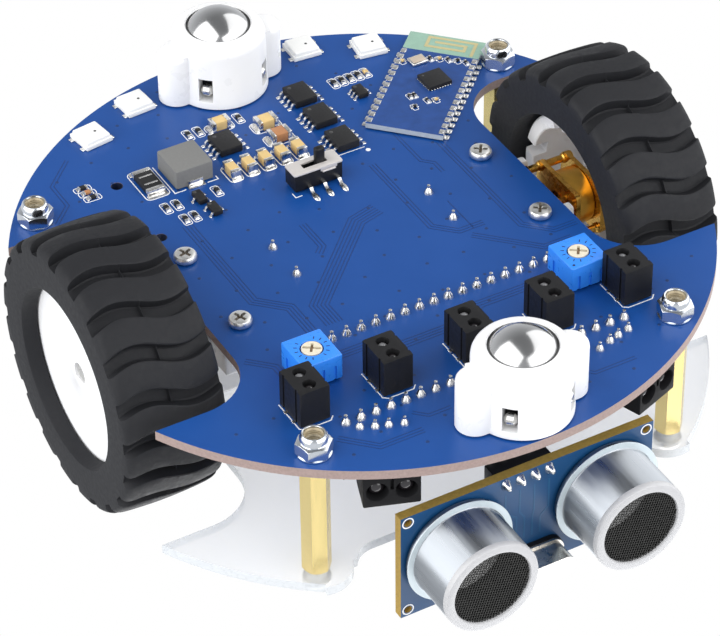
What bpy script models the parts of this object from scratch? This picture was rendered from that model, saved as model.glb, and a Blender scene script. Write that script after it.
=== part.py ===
"""Two wheel robot car, standing on its wheels; its two ball casters clear the ground a little.

Frame: metres, +Z up, the ground is Z = 0 and the car's front is -Y.  Everything below is placed
from the centre of the round board; the empty "car" then puts the origin at the middle of the
whole object's footprint.  Sizes in the constants are millimetres and go through mm().
"""
import math

import bmesh
import bpy
from mathutils import Matrix

# ---------------------------------------------------------------- driving dimensions (mm)
CLEARANCE = 0.3            # gap that touching solids keep
WHEEL_R = 22.3
WHEEL_IN, WHEEL_OUT = 35.5, 52.3      # tyre's inner and outer face, from the middle of the car
RIM_R, RIM_IN, RIM_OUT = 15.6, 45.9, 49.6      # the hub's edge inside the tyre
AXLE_Y = -0.5
BOARD_R, BOARD_T = 55.0, 1.6
AXLE_Z = WHEEL_R
BOARD_BOTTOM = AXLE_Z - 6.6
BOARD_TOP = BOARD_BOTTOM + BOARD_T
SLOT_X, SLOT_Y, SLOT_FILLET = 31.3, 25.0, 9.0      # wheel slots of both plates
STANDOFF_LEN, STANDOFF_AF, POST_TURN = 21.0, 4.0, 13.6
PLATE_T = 1.6
PLATE_BOTTOM = BOARD_TOP + STANDOFF_LEN
PLATE_TOP = PLATE_BOTTOM + PLATE_T
POSTS = {"front_left": (31.2, -40.7), "front_right": (-31.2, -40.7),
         "rear_left": (42.3, 29.0), "rear_right": (-42.3, 29.0)}
POST_SCREW_R, BRACKET_SCREW_R = 1.25, 0.95
BRACKET_X, BRACKET_LEN, BRACKET_HOLE = 26.6, 14.6, 9.0
GUIDE_HOLES, GUIDE_HOLE_R = ((27.3, 30.7), (27.3, 15.4)), 1.0
MOTOR_W, MOTOR_H = 12.0, 10.0
MOTOR_IN, MOTOR_OUT = 16.8, 31.6
GEARBOX_PLATES = (31.9, 35.4, 40.0)
GEARBOX_PLATE_T = 0.8
GEAR_MODULE, PINION_TEETH, GEAR_TEETH = 0.3, 6, 15
GEAR_CENTRES = GEAR_MODULE * (PINION_TEETH + GEAR_TEETH) / 2
SHAFT_R, SHAFT_END = 1.5, 49.4
MOTOR_SHAFT_R, LAYSHAFT_R = 0.45, 0.42
CASTER_Y, CASTER_R, CASTER_H = 47.2, 7.9, 12.0
CASTER_LOBE_X, CASTER_LOBE_R, CASTER_LOBE_H = 8.0, 3.0, 9.5
CASTER_WINDOW = (5.0, 2.4, 4.4)       # each roller's opening: inwards, across and high
CASTER_WINDOW_DEPTH = 3.7             # its middle below the board
BALL_R = 6.0
BALL_Z = BOARD_BOTTOM - 8.4
LINE_SENSOR_PITCH, LINE_SENSOR_Y = 14.0, -32.2
TRIMMERS = {"left": (22.8, -25.0), "right": (-23.6, -25.2)}
TRIMMER_H = 4.8
SWITCH_X, SWITCH_Y, SWITCH_H = -0.35, 16.1, 3.7
KNOB_TRAVEL = 2.0
SONAR_X, SONAR_FRONT, SONAR_BOTTOM = -1.15, -47.9, BOARD_BOTTOM + 12.3
SONAR_W, SONAR_H, SONAR_T = 44.2, 20.0, 1.6
CAN_R, CAN_LEN, CAN_SPACING = 8.0, 10.8, 26.0
CANS_X, CAN_Z = -1.6, BOARD_BOTTOM + 21.9
HEADER_Y, HEADER_ROW = -28.6, 8.89
SOCKET_H = 7.7
CELL_R, CELL_LEN, CELL_Y = 7.0, 50.0, 30.0
RADIO_X, RADIO_Y, RADIO_ANGLE = -28.5, 28.8, 136.0
RADIO_L, RADIO_W = 27.0, 13.0
OBSTACLE_X, OBSTACLE_Y, OBSTACLE_YAW = 21.9, -46.1, 20.0
ORIGIN_Y = -(CASTER_Y + CASTER_R + SONAR_FRONT - CAN_LEN) / 2

ROUND = 40                 # facets of a large round part
SMALL_ROUND = 14           # facets of a hole or a screw


def mm(value):
    """Millimetres to Blender's metres, for a number or a point."""
    if isinstance(value, (int, float)):
        return value / 1000.0
    return tuple(v / 1000.0 for v in value)


# ---------------------------------------------------------------- scene and materials
for old in list(bpy.data.objects):
    bpy.data.objects.remove(old)

car_parts = bpy.data.collections.new("two_wheel_robot_car")
cutters = bpy.data.collections.new("cutters")
bpy.context.scene.collection.children.link(car_parts)
bpy.context.scene.collection.children.link(cutters)


def material(name, colour, roughness, metallic=0.0, alpha=1.0):
    made = bpy.data.materials.new(name)
    made.use_nodes = True
    shader = made.node_tree.nodes["Principled BSDF"]
    shader.inputs["Base Color"].default_value = (*colour, 1.0)
    shader.inputs["Roughness"].default_value = roughness
    shader.inputs["Metallic"].default_value = metallic
    shader.inputs["Alpha"].default_value = alpha
    return made


BLUE_BOARD = material("blue_board", (0.02, 0.09, 0.36), 0.3)
ACRYLIC = material("clear_acrylic", (0.9, 0.92, 0.94), 0.05, 0.0, 0.25)
BRASS = material("brass", (0.72, 0.55, 0.18), 0.3, 1.0)
STEEL = material("plated_steel", (0.75, 0.75, 0.74), 0.25, 1.0)
ALUMINIUM = material("aluminium", (0.72, 0.73, 0.75), 0.3, 1.0)
WHITE = material("white_plastic", (0.86, 0.86, 0.85), 0.35)
BLACK = material("black_plastic", (0.02, 0.02, 0.02), 0.45)
RUBBER = material("tyre_rubber", (0.025, 0.025, 0.027), 0.7)
TRIM_BLUE = material("trimmer_blue", (0.05, 0.28, 0.85), 0.35)
CELL_WRAP = material("cell_wrap", (0.12, 0.35, 0.16), 0.35)

car = bpy.data.objects.new("car", None)
car.location = mm((0.0, ORIGIN_Y, 0.0))
car_parts.objects.link(car)


def empty(name, location, rotation=(0.0, 0.0, 0.0), parent=car):
    made = bpy.data.objects.new(name, None)
    made.location = mm(location)
    made.rotation_euler = [math.radians(a) for a in rotation]
    made.parent = parent
    car_parts.objects.link(made)
    return made


# ---------------------------------------------------------------- modelling helpers
def as_cutter(obj):
    """Hides a guide solid and keeps it out of the part."""
    for holder in list(obj.users_collection):
        holder.objects.unlink(obj)
    cutters.objects.link(obj)
    obj.hide_render = True
    obj.display_type = "WIRE"
    return obj


def solid(mesh):
    """A temporary object that holds a mesh while it is being worked on."""
    return as_cutter(bpy.data.objects.new("work", mesh))


def evaluated_mesh(obj):
    bpy.context.view_layer.update()
    graph = bpy.context.evaluated_depsgraph_get()
    return bpy.data.meshes.new_from_object(obj.evaluated_get(graph))


def baked(obj):
    """The object's mesh with its modifiers and place applied; the object itself is removed."""
    mesh = evaluated_mesh(obj)
    mesh.transform(obj.matrix_basis)
    bpy.data.objects.remove(obj)
    return mesh


def moved(mesh, offset=(0, 0, 0), turn=0.0, axis="Z"):
    """Turns a mesh about an axis through the origin, then shifts it by offset (mm)."""
    mesh.transform(Matrix.Translation(mm(offset)) @ Matrix.Rotation(math.radians(turn), 4, axis))
    return mesh


def stood_along(mesh, axis):
    """Turns a mesh made along Z to lie along another axis."""
    about, angle = {"X": ("Y", 90), "Y": ("X", -90), "Z": ("Z", 0)}[axis]
    return moved(mesh, turn=angle, axis=about)


def combined(mesh, other, operation):
    """Boolean of two closed meshes, consuming both."""
    target, tool = solid(mesh), solid(other)
    boolean = target.modifiers.new("boolean", "BOOLEAN")
    boolean.operation = operation
    boolean.solver = "EXACT"
    boolean.object = tool
    result = baked(target)
    bpy.data.objects.remove(tool)
    return result


def cut(mesh, *tools):
    for tool in tools:
        mesh = combined(mesh, tool, "DIFFERENCE")
    return mesh


def join(mesh, *others):
    for other in others:
        mesh = combined(mesh, other, "UNION")
    return mesh


def block(size, centre=(0, 0, 0), bevel=0.0, segments=2):
    """A box of size (mm) about centre, its edges rounded by bevel."""
    bm = bmesh.new()
    stretch = Matrix.Diagonal((*mm(size), 1.0))
    bmesh.ops.create_cube(bm, size=1.0, matrix=Matrix.Translation(mm(centre)) @ stretch)
    mesh = bpy.data.meshes.new("block")
    bm.to_mesh(mesh)
    bm.free()
    if bevel == 0.0:
        return mesh
    work = solid(mesh)
    rounding = work.modifiers.new("bevel", "BEVEL")
    rounding.width = mm(bevel)
    rounding.segments = segments
    return baked(work)


def rod(radius, start, end, axis="Z", facets=SMALL_ROUND, top_radius=None):
    """A cylinder, or a prism or cone, along an axis from start to end (mm)."""
    bm = bmesh.new()
    bmesh.ops.create_cone(bm, cap_ends=True, segments=facets, radius1=mm(radius),
                          radius2=mm(radius if top_radius is None else top_radius), depth=mm(end - start))
    mesh = bpy.data.meshes.new("rod")
    bm.to_mesh(mesh)
    bm.free()
    mesh.transform(Matrix.Translation(mm((0, 0, (start + end) / 2))))
    return stood_along(mesh, axis)


def flat(outlines, z0, z1):
    """A flat part from closed outlines (mm): the first is its edge, the rest are holes."""
    curve = bpy.data.curves.new("outline", "CURVE")
    curve.dimensions = "2D"
    curve.fill_mode = "BOTH"
    curve.extrude = mm((z1 - z0) / 2)
    for points in outlines:
        spline = curve.splines.new("POLY")
        spline.points.add(len(points) - 1)
        for point, (x, y) in zip(spline.points, points):
            point.co = (*mm((x, y)), 0.0, 1.0)
        spline.use_cyclic_u = True
    work = bpy.data.objects.new("outline", curve)
    as_cutter(work)
    mesh = evaluated_mesh(work)
    bpy.data.objects.remove(work)
    bm = bmesh.new()
    bm.from_mesh(mesh)
    bmesh.ops.remove_doubles(bm, verts=bm.verts, dist=1e-6)
    bmesh.ops.recalc_face_normals(bm, faces=bm.faces)
    bm.to_mesh(mesh)
    bm.free()
    return moved(mesh, (0, 0, (z0 + z1) / 2))


def turned(profile, facets=ROUND, axis="Z"):
    """A turned solid. The profile is (radius, height) pairs that run down its outer side."""
    count = len(profile)
    is_ring = profile[0][0] > 0.0
    edges = [(i, (i + 1) % count) for i in range(count if is_ring else count - 1)]
    mesh = bpy.data.meshes.new("profile")
    mesh.from_pydata([(mm(r), 0.0, mm(z)) for r, z in profile], edges, [])
    work = solid(mesh)
    screw = work.modifiers.new("screw", "SCREW")
    screw.steps = facets
    screw.render_steps = facets
    screw.use_merge_vertices = True
    screw.merge_threshold = 1e-6
    result = baked(work)
    bm = bmesh.new()
    bm.from_mesh(result)
    bmesh.ops.recalc_face_normals(bm, faces=bm.faces)
    bm.to_mesh(result)
    bm.free()
    return stood_along(result, axis)


def sphere(radius):
    bm = bmesh.new()
    bmesh.ops.create_uvsphere(bm, u_segments=20, v_segments=12, radius=mm(radius))
    mesh = bpy.data.meshes.new("sphere")
    bm.to_mesh(mesh)
    bm.free()
    return mesh


def arc(centre, radius, start, end, steps):
    """Points along an arc, angles in degrees."""
    angles = [math.radians(start + (end - start) * i / steps) for i in range(steps + 1)]
    return [(centre[0] + radius * math.cos(a), centre[1] + radius * math.sin(a)) for a in angles]


def circle(centre, radius, facets=SMALL_ROUND):
    return arc(centre, radius, 0.0, 360.0, facets)[:-1]


def place(name, mesh, finish, location=(0, 0, 0), rotation=(0, 0, 0), parent=car):
    """Puts a finished mesh in the car as a named part."""
    mesh.materials.clear()
    mesh.materials.append(finish)
    mesh.shade_smooth()
    mesh.set_sharp_from_angle(angle=math.radians(35))
    part = bpy.data.objects.new(name, mesh)
    part.location = mm(location)
    part.rotation_euler = [math.radians(a) for a in rotation]
    part.parent = parent
    car_parts.objects.link(part)
    return part


def cross_recess_screw(head_r, head_h, shank_r, length):
    """A pan head screw, head up, with its bearing face at Z = 0 and a cross recess."""
    head = turned([(0.0, head_h), (head_r * 0.7, head_h), (head_r, head_h * 0.4), (head_r, 0.0),
                   (shank_r, 0.0), (shank_r, -length), (0.0, -length)], 12)
    slot_l, slot_w, slot_depth = head_r * 1.15, head_r * 0.24, head_h * 0.9
    along_x = block((slot_l, slot_w, slot_depth), (0, 0, head_h))
    along_y = block((slot_w, slot_l, slot_depth), (0, 0, head_h))
    return cut(head, along_x, along_y)


# ---------------------------------------------------------------- the two round plates
def wheel_slot_corners(side):
    """The slot's outline on one side, from the front rim to the rear rim."""
    edge = math.sqrt(BOARD_R ** 2 - SLOT_Y ** 2)
    centre_x = SLOT_X + SLOT_FILLET
    centre_y = SLOT_Y - SLOT_FILLET
    points = [(edge, -SLOT_Y)]
    points += arc((centre_x, -centre_y), SLOT_FILLET, 270, 180, 6)
    points += arc((centre_x, centre_y), SLOT_FILLET, 180, 90, 6)
    points += [(edge, SLOT_Y)]
    return [(side * x, y) for x, y in points]


def rim_angle():
    return math.degrees(math.asin(SLOT_Y / BOARD_R))


def board_outline():
    tip = rim_angle()
    front = arc((0, 0), BOARD_R, -180 + tip, -tip, 34)[1:-1]
    rear = arc((0, 0), BOARD_R, tip, 180 - tip, 34)[1:-1]
    return front + wheel_slot_corners(1) + rear + wheel_slot_corners(-1)[::-1]


def plate_outline():
    """As the board, with a shallow notch in front for the distance sensor."""
    tip = rim_angle()
    corner = math.degrees(math.acos(32.0 / BOARD_R))
    half = arc((0, 0), BOARD_R, -tip, -corner, 13)[1:]
    half += arc((30.6, -40.7), 5.0, -73, -162, 7)
    half += arc((21.3, -44.4), 4.4, 30, 90, 5)
    front = [(-x, y) for x, y in half] + half[::-1]
    rear = arc((0, 0), BOARD_R, tip, 180 - tip, 34)[1:-1]
    return front + wheel_slot_corners(1) + rear + wheel_slot_corners(-1)[::-1]


def build_plates():
    posts = [circle(p, POST_SCREW_R + CLEARANCE, 16) for p in POSTS.values()]
    screw_places = [(side * BRACKET_X, AXLE_Y + end * BRACKET_HOLE) for side in (1, -1) for end in (1, -1)]
    screws = [circle(p, BRACKET_SCREW_R + CLEARANCE, 12) for p in screw_places]
    guide_holes = [circle(p, GUIDE_HOLE_R, 12) for p in GUIDE_HOLES]
    board = flat([board_outline(), *posts, *screws, *guide_holes], BOARD_BOTTOM, BOARD_TOP)
    place("main_board", board, BLUE_BOARD)
    place("upper_plate", flat([plate_outline(), *posts], PLATE_BOTTOM, PLATE_TOP), ACRYLIC)


# ---------------------------------------------------------------- posts, nuts and screws
def build_posts():
    """Hexagonal posts with a stud below and a tapped hole above, their nuts and their screws."""
    stud_l, tapped_depth = 3.8, 8.0
    body = rod(STANDOFF_AF / math.sqrt(3), 0, STANDOFF_LEN - CLEARANCE, facets=6)
    body = join(body, rod(POST_SCREW_R, -stud_l, 0.5, facets=16))
    tapped = rod(POST_SCREW_R + 0.25, STANDOFF_LEN - tapped_depth, STANDOFF_LEN + 1, facets=16)
    standoff = cut(body, tapped)
    nut_af, nut_h, collar_r, collar_end = 5.0, 2.1, 2.1, 3.4
    collar = turned([(0.0, -1.7), (collar_r, -1.7), (collar_r, 0.4 - collar_end), (1.8, -collar_end),
                     (0.0, -collar_end)], SMALL_ROUND)
    nut = join(rod(nut_af / math.sqrt(3), -nut_h, -CLEARANCE, facets=6), collar)
    nut = cut(nut, rod(POST_SCREW_R + CLEARANCE, -collar_end - 1, 1, facets=16))
    screw = cross_recess_screw(2.3, 1.5, POST_SCREW_R - 0.05, tapped_depth - 1.5)
    for name, (x, y) in POSTS.items():
        place("standoff_" + name, standoff, BRASS, (x, y, BOARD_TOP + CLEARANCE / 2), (0, 0, POST_TURN))
        place("lock_nut_" + name, nut, STEEL, (x, y, BOARD_BOTTOM), (0, 0, 14 if x > 0 else 44))
        place("plate_screw_" + name, screw, STEEL, (x, y, PLATE_TOP + CLEARANCE))


# ---------------------------------------------------------------- drive: bracket, motor, gears, wheel
def gear(teeth, x0, x1, gap_at_zero):
    """A spur gear about X with slim straight teeth, in mesh by a tooth or a gap on the +Y side."""
    pitch_r = GEAR_MODULE * teeth / 2
    root, tip = pitch_r - 1.25 * GEAR_MODULE, pitch_r + 0.75 * GEAR_MODULE
    step = 360.0 / teeth
    first = step / 2 if gap_at_zero else 0.0
    points = []
    for tooth in range(teeth):
        middle = first + tooth * step
        for r, offset in ((root, -0.27), (tip, -0.11), (tip, 0.11), (root, 0.27)):
            angle = math.radians(middle + offset * step)
            points.append((r * math.cos(angle), r * math.sin(angle)))
    # drawn in the YZ plane: the outline's x is the car's y, its y the car's z
    mesh = flat([points], x0, x1)
    mesh.transform(Matrix(((0, 0, 1, 0), (1, 0, 0, 0), (0, 1, 0, 0), (0, 0, 0, 1))))
    return mesh


def motor_bracket():
    """A cap over the motor with an ear on each side, screwed down from below the board."""
    wall, round_r = 1.6, 0.5
    ear_x, ear_y, ear_h = 9.0, 25.2, 4.2
    half_w = MOTOR_W / 2 + CLEARANCE
    top = MOTOR_H / 2 + CLEARANCE
    floor = -(AXLE_Z - BOARD_TOP) + CLEARANCE
    roof = top + wall
    cap = block((BRACKET_LEN, 2 * (half_w + wall), roof - floor), (BRACKET_X, 0, (roof + floor) / 2), round_r)
    ears = block((ear_x, ear_y, ear_h), (BRACKET_X, 0, floor + ear_h / 2), round_r)
    body = join(cap, ears)
    channel = block((BRACKET_LEN + 4, 2 * half_w, top - floor + 4), (BRACKET_X, 0, (top + floor - 4) / 2))
    bore = rod(BRACKET_SCREW_R + CLEARANCE, -8, 2, facets=12)
    bores = [moved(bore.copy(), (BRACKET_X, end * BRACKET_HOLE, 0)) for end in (1, -1)]
    return cut(body, channel, *bores)


def motor_can():
    barrel = rod(MOTOR_W / 2, MOTOR_IN, MOTOR_OUT, "X", 32)
    slab = block((40, 20, MOTOR_H - 0.6), ((MOTOR_IN + MOTOR_OUT) / 2, 0, 0))
    can = combined(barrel, slab, "INTERSECT")
    return join(can, rod(2.4, MOTOR_IN - 1.0, MOTOR_IN + 1, "X"))


def gearbox_frame():
    """Three plates held apart by three pillars."""
    thick, height = GEARBOX_PLATE_T, MOTOR_H - 0.6
    plates = [block((thick, MOTOR_W, height), (x + thick / 2, 0, 0)) for x in GEARBOX_PLATES]
    inner, outer = GEARBOX_PLATES[0], GEARBOX_PLATES[-1]
    pillar_r, pillar_y, pillar_z = 0.65, 5.1, 3.7
    places = ((pillar_y, pillar_z), (-pillar_y, pillar_z), (-pillar_y, -pillar_z))
    pillars = [moved(rod(pillar_r, inner + 0.3, outer + thick - 0.3, "X", 10), (0, y, z)) for y, z in places]
    frame = join(plates[0], *pillars, *plates[1:])
    shaft_hole = rod(SHAFT_R + CLEARANCE, outer - 1, outer + 2, "X")
    motor_hole = rod(MOTOR_SHAFT_R + 0.45, inner - 1, inner + 2, "X", 12)
    lay_hole = moved(rod(LAYSHAFT_R + CLEARANCE, inner - 1, outer + 2, "X", 12), (0, GEAR_CENTRES, 0))
    return cut(frame, shaft_hole, motor_hole, lay_hole)


def motor_pinion():
    """The motor's own shaft end with its gear."""
    shaft = rod(MOTOR_SHAFT_R, MOTOR_OUT + CLEARANCE, 33.4, "X", 10)
    return join(gear(PINION_TEETH, 33.1, 34.7, False), shaft)


def reduction_gear():
    """The compound gear; its own axis is local X."""
    first = gear(GEAR_TEETH, 33.2, 34.6, False)
    last = gear(PINION_TEETH, 36.7, 38.7, False)
    pivot = rod(LAYSHAFT_R, 32.1, 40.6, "X", 10)
    return join(pivot, first, last)


def output_shaft():
    """A D-shaped shaft that carries the last gear and the wheel."""
    flat_l, flat_depth = 7.5, 0.5
    shaft = rod(SHAFT_R, 36.5, SHAFT_END, "X", 24)
    d_cut = block((2 * flat_l, 2 * SHAFT_R + 1, 2 * flat_depth), (SHAFT_END, 0, SHAFT_R))
    shaft = cut(shaft, d_cut)
    return join(shaft, gear(GEAR_TEETH, 36.9, 38.5, True))


def wheel_hub():
    """A disc whose thick edge sits in the tyre, a boss with a D bore, and three ribs across."""
    rim_out, rim_in, boss_r, boss_end = RIM_R, 13.6, 3.6, 42.0
    web0, web1 = RIM_OUT - 2.0, RIM_OUT
    rib_t, rib_depth = 1.2, 1.6
    profile = [(0.0, web1), (rim_out, web1), (rim_out, RIM_IN), (rim_in, RIM_IN), (rim_in, web0),
               (boss_r, web0), (boss_r, boss_end), (0.0, boss_end)]
    hub = turned(profile, ROUND, "X")
    for angle in (0, 60, 120):
        rib = block((rib_depth, 2 * rim_in + 0.8, rib_t), (web0 - rib_depth / 2 + 0.1, 0, 0))
        hub = join(hub, moved(rib, turn=angle, axis="X"))
    bore_r = SHAFT_R + CLEARANCE
    bore = rod(bore_r, boss_end - 2, web1 + 1.2, "X", 24)
    bore_middle = (boss_end + web1) / 2
    flat_side = block((web1 - boss_end + 5.2, 2 * bore_r + 1, 1.2), (bore_middle - 0.4, 0, bore_r + 0.1))
    return cut(hub, cut(bore, flat_side))


def tyre():
    """A ring with rounded shoulders, grooved inside for the hub's edge."""
    groove, neck, mouth = RIM_R + CLEARANCE, 14.1, 14.6
    shoulder = ((WHEEL_R - 1.4, 0.0), (WHEEL_R - 0.5, 0.9), (WHEEL_R, 4.5))
    profile = [(groove, RIM_OUT + CLEARANCE), (neck, RIM_OUT + CLEARANCE), (mouth, WHEEL_OUT)]
    profile += [(r, WHEEL_OUT - inset) for r, inset in shoulder]
    profile += [(r, WHEEL_IN + inset) for r, inset in reversed(shoulder)]
    profile += [(mouth, WHEEL_IN), (neck, RIM_IN - CLEARANCE), (groove, RIM_IN - CLEARANCE)]
    return turned(profile, ROUND, "X")


def build_drives():
    bracket, can, frame, shaft = motor_bracket(), motor_can(), gearbox_frame(), output_shaft()
    pinion, compound, hub, rubber = motor_pinion(), reduction_gear(), wheel_hub(), tyre()
    bracket_screw = cross_recess_screw(1.75, 1.3, BRACKET_SCREW_R, 5.5)
    for side, turn in (("left", 0), ("right", 180)):
        drive = empty("drive_" + side, (0, AXLE_Y, AXLE_Z), (0, 0, turn))
        layshaft = empty("layshaft_" + side, (0, GEAR_CENTRES, 0), parent=drive)
        place("motor_bracket_" + side, bracket, WHITE, parent=drive)
        place("motor_" + side, can, ALUMINIUM, parent=drive)
        place("gearbox_frame_" + side, frame, BRASS, parent=drive)
        place("motor_pinion_" + side, pinion, BRASS, parent=drive)
        place("reduction_gear_" + side, compound, BRASS, parent=layshaft)
        place("output_shaft_" + side, shaft, STEEL, parent=drive)
        place("wheel_hub_" + side, hub, WHITE, parent=drive)
        place("tyre_" + side, rubber, RUBBER, parent=drive)
        for end, y in (("front", -BRACKET_HOLE), ("rear", BRACKET_HOLE)):
            x = BRACKET_X if side == "left" else -BRACKET_X
            place(f"bracket_screw_{end}_{side}", bracket_screw, STEEL,
                  (x, AXLE_Y + y, BOARD_BOTTOM - CLEARANCE), (180, 0, 20))


# ---------------------------------------------------------------- ball casters
def caster_housing():
    """A round cup that opens downwards over the ball, with a screw lobe on each side."""
    bottom, top = BOARD_BOTTOM - CASTER_H, BOARD_BOTTOM - CLEARANCE
    cup = turned([(0.0, top), (CASTER_R, top), (CASTER_R, bottom + 1.4), (CASTER_R - 1.2, bottom),
                  (0.0, bottom)], 28)
    lobe_bottom = BOARD_BOTTOM - CASTER_LOBE_H
    neck = (CASTER_LOBE_X, 2 * CASTER_LOBE_R, top - lobe_bottom)
    for side in (1, -1):
        x = side * CASTER_LOBE_X
        cup = join(cup, moved(rod(CASTER_LOBE_R, lobe_bottom, top), (x, 0, 0)))
        cup = join(cup, block(neck, (x / 2, 0, (top + lobe_bottom) / 2)))
    cup = cut(cup, moved(sphere(BALL_R + 2 * CLEARANCE), (0, 0, BALL_Z)))
    for angle in (45, 135, 225, 315):
        window = block(CASTER_WINDOW, (CASTER_R - 0.9, 0, BOARD_BOTTOM - CASTER_WINDOW_DEPTH))
        cup = cut(cup, moved(window, turn=angle))
    return cup


def build_casters():
    housing, ball = caster_housing(), sphere(BALL_R)
    for end, y in (("front", -CASTER_Y), ("rear", CASTER_Y)):
        place("caster_housing_" + end, housing, WHITE, (0, y, 0))
        place("caster_ball_" + end, ball, STEEL, (0, y, BALL_Z))


# ---------------------------------------------------------------- parts under the board
def build_line_sensors():
    """Reflective sensors in a row, each with an emitter and a receiver window."""
    width, length, depth = 4.9, 6.4, 6.2
    window_r, window_y, window_depth = 1.05, 1.5, 1.1
    top = BOARD_BOTTOM - CLEARANCE
    face = top - depth
    body = block((width, length, depth), (0, 0, (top + face) / 2), 0.15, 1)
    window = rod(window_r, face - 1, face + window_depth, facets=16)
    windows = [moved(window.copy(), (0, y, 0)) for y in (window_y, -window_y)]
    body = cut(body, *windows)
    for index, name in enumerate(("far_right", "right", "middle", "left", "far_left")):
        place("line_sensor_" + name, body, BLACK, ((index - 2) * LINE_SENSOR_PITCH, LINE_SENSOR_Y, 0))


def build_trimmers():
    """Square trimmers; a slotted rotor sits in a round recess in the face."""
    width, length, rotor_r = 6.6, 7.0, 1.6
    face, top = BOARD_BOTTOM - TRIMMER_H, BOARD_BOTTOM - CLEARANCE
    body = block((width, length, top - face), (0, 0, (face + top) / 2), 0.15, 1)
    body = cut(body, rod(rotor_r + 0.35, face - 1, face + 1.2))
    screwdriver_slot = block((2.6, 0.5, 1.0), (0, 0, face - 0.1))
    rotor = cut(rod(rotor_r, face - 0.1, face + 0.9), screwdriver_slot)
    for side, (x, y) in TRIMMERS.items():
        place("trimmer_" + side, body, TRIM_BLUE, (x, y, 0))
        place("trimmer_rotor_" + side, rotor, WHITE, (x, y, 0), (0, 0, 35))


def build_switch():
    """A slide switch with its knob at one end of the slot."""
    face, top = BOARD_BOTTOM - SWITCH_H, BOARD_BOTTOM - CLEARANCE
    body_l, body_w = 8.8, 3.5
    slot_l, slot_w, slot_depth = 4.6, 2.1, 2.0
    knob_l, knob_w, knob_h, knob_root = 1.9, 1.5, 5.2, 1.5
    body = block((body_l, body_w, top - face), (0, 0, (face + top) / 2), 0.1, 1)
    body = cut(body, block((slot_l, slot_w, 2 * slot_depth), (0, 0, face)))
    knob_z = face + knob_root - knob_h / 2
    knob = block((knob_l, knob_w, knob_h), (-KNOB_TRAVEL / 2, 0, knob_z), 0.12, 1)
    place("switch_body", body, STEEL, (SWITCH_X, SWITCH_Y, 0))
    place("switch_knob", knob, BLACK, (SWITCH_X, SWITCH_Y, 0))


def build_radio():
    thick = 0.9
    board = block((RADIO_L, RADIO_W, thick), (0, 0, BOARD_BOTTOM - CLEARANCE - thick / 2))
    place("radio_module", board, BLUE_BOARD, (RADIO_X, RADIO_Y, 0), (0, 0, RADIO_ANGLE))


# ---------------------------------------------------------------- parts above the board
def build_obstacle_sensors():
    """Reflective sensors under the rim, each facing forwards and a little outwards."""
    width, depth, height = 8.6, 6.0, 5.8
    eye_r, eye_x, eye_depth = 1.65, 2.18, 1.4
    middle = BOARD_TOP + CLEARANCE + height / 2
    body = block((width, depth, height), (0, 0, middle), 0.15, 1)
    eye = rod(eye_r, -depth / 2 - 1, -depth / 2 + eye_depth, "Y", 16)
    body = cut(body, *[moved(eye.copy(), (x, 0, middle)) for x in (eye_x, -eye_x)])
    for name, side in (("left", 1), ("right", -1)):
        spot = (side * OBSTACLE_X, OBSTACLE_Y, 0)
        place("obstacle_sensor_" + name, body, BLACK, spot, (0, 0, side * OBSTACLE_YAW))


def transducer_can():
    """An open aluminium cup with a flange at its base; it faces -Y from Y = 0."""
    length = CAN_LEN - CLEARANCE
    recess, flange_r, flange_t = 2.6, 8.9, 1.0
    profile = [(0.0, length - recess), (6.7, length - recess), (6.9, length - 0.5), (7.3, length),
               (7.8, length - 0.1), (CAN_R, length - 0.6), (CAN_R, flange_t), (flange_r, flange_t),
               (flange_r, 0.0), (0.0, 0.0)]
    can = turned(profile, 32)
    return moved(can, turn=90, axis="X")


def build_sonar():
    half_w, half_h = SONAR_W / 2, SONAR_H / 2
    corners = [(-half_w, -half_h), (half_w, -half_h), (half_w, half_h), (-half_w, half_h)]
    hole_r, hole_inset = 0.65, 1.25
    hole_x, hole_y = half_w - hole_inset, half_h - hole_inset
    holes = [circle((x, y), hole_r, 12) for x in (-hole_x, hole_x) for y in (-hole_y, hole_y)]
    board = moved(flat([corners, *holes], 0, SONAR_T), turn=90, axis="X")
    place("distance_sensor_board", board, BLUE_BOARD, (SONAR_X, SONAR_FRONT + SONAR_T, SONAR_BOTTOM + half_h))
    can = transducer_can()
    for side, x in (("left", CAN_SPACING / 2), ("right", -CAN_SPACING / 2)):
        place("transducer_" + side, can, ALUMINIUM, (CANS_X + x, SONAR_FRONT - CLEARANCE, CAN_Z))


def build_sockets():
    """Two 20-way pin sockets, for a small controller board."""
    socket_l, socket_w = 50.8, 2.5
    socket = block((socket_l, socket_w, SOCKET_H), (0, 0, BOARD_TOP + CLEARANCE + SOCKET_H / 2), 0.15, 1)
    for end, y in (("front", -HEADER_ROW), ("rear", HEADER_ROW)):
        place("pin_socket_" + end, socket, BLACK, (0, HEADER_Y + y, 0))


def build_battery():
    low = BOARD_TOP + CLEARANCE
    floor_t, wall = 1.6, 1.6
    inner_l, inner_w = CELL_LEN + 2.4, 2 * CELL_R + 0.8
    height = 11.5
    tray = block((inner_l + 2 * wall, inner_w + 2 * wall, height), (0, 0, low + height / 2), 0.4)
    tray = cut(tray, block((inner_l, inner_w, height), (0, 0, low + floor_t + height / 2)))
    place("battery_holder", tray, BLACK, (0, CELL_Y, 0))
    axis_z = low + floor_t + CELL_R + CLEARANCE
    half = CELL_LEN / 2
    cell = turned([(0.0, half), (2.6, half), (2.6, half - 1.2), (6.4, half - 1.2), (CELL_R, half - 1.8),
                   (CELL_R, -half + 0.5), (6.4, -half), (0.0, -half)], 32, "X")
    place("battery_cell", cell, CELL_WRAP, (0, CELL_Y, axis_z))


build_plates()
build_posts()
build_drives()
build_casters()
build_line_sensors()
build_trimmers()
build_switch()
build_radio()
build_obstacle_sensors()
build_sonar()
build_sockets()
build_battery()
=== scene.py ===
import math
from collections import defaultdict

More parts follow.
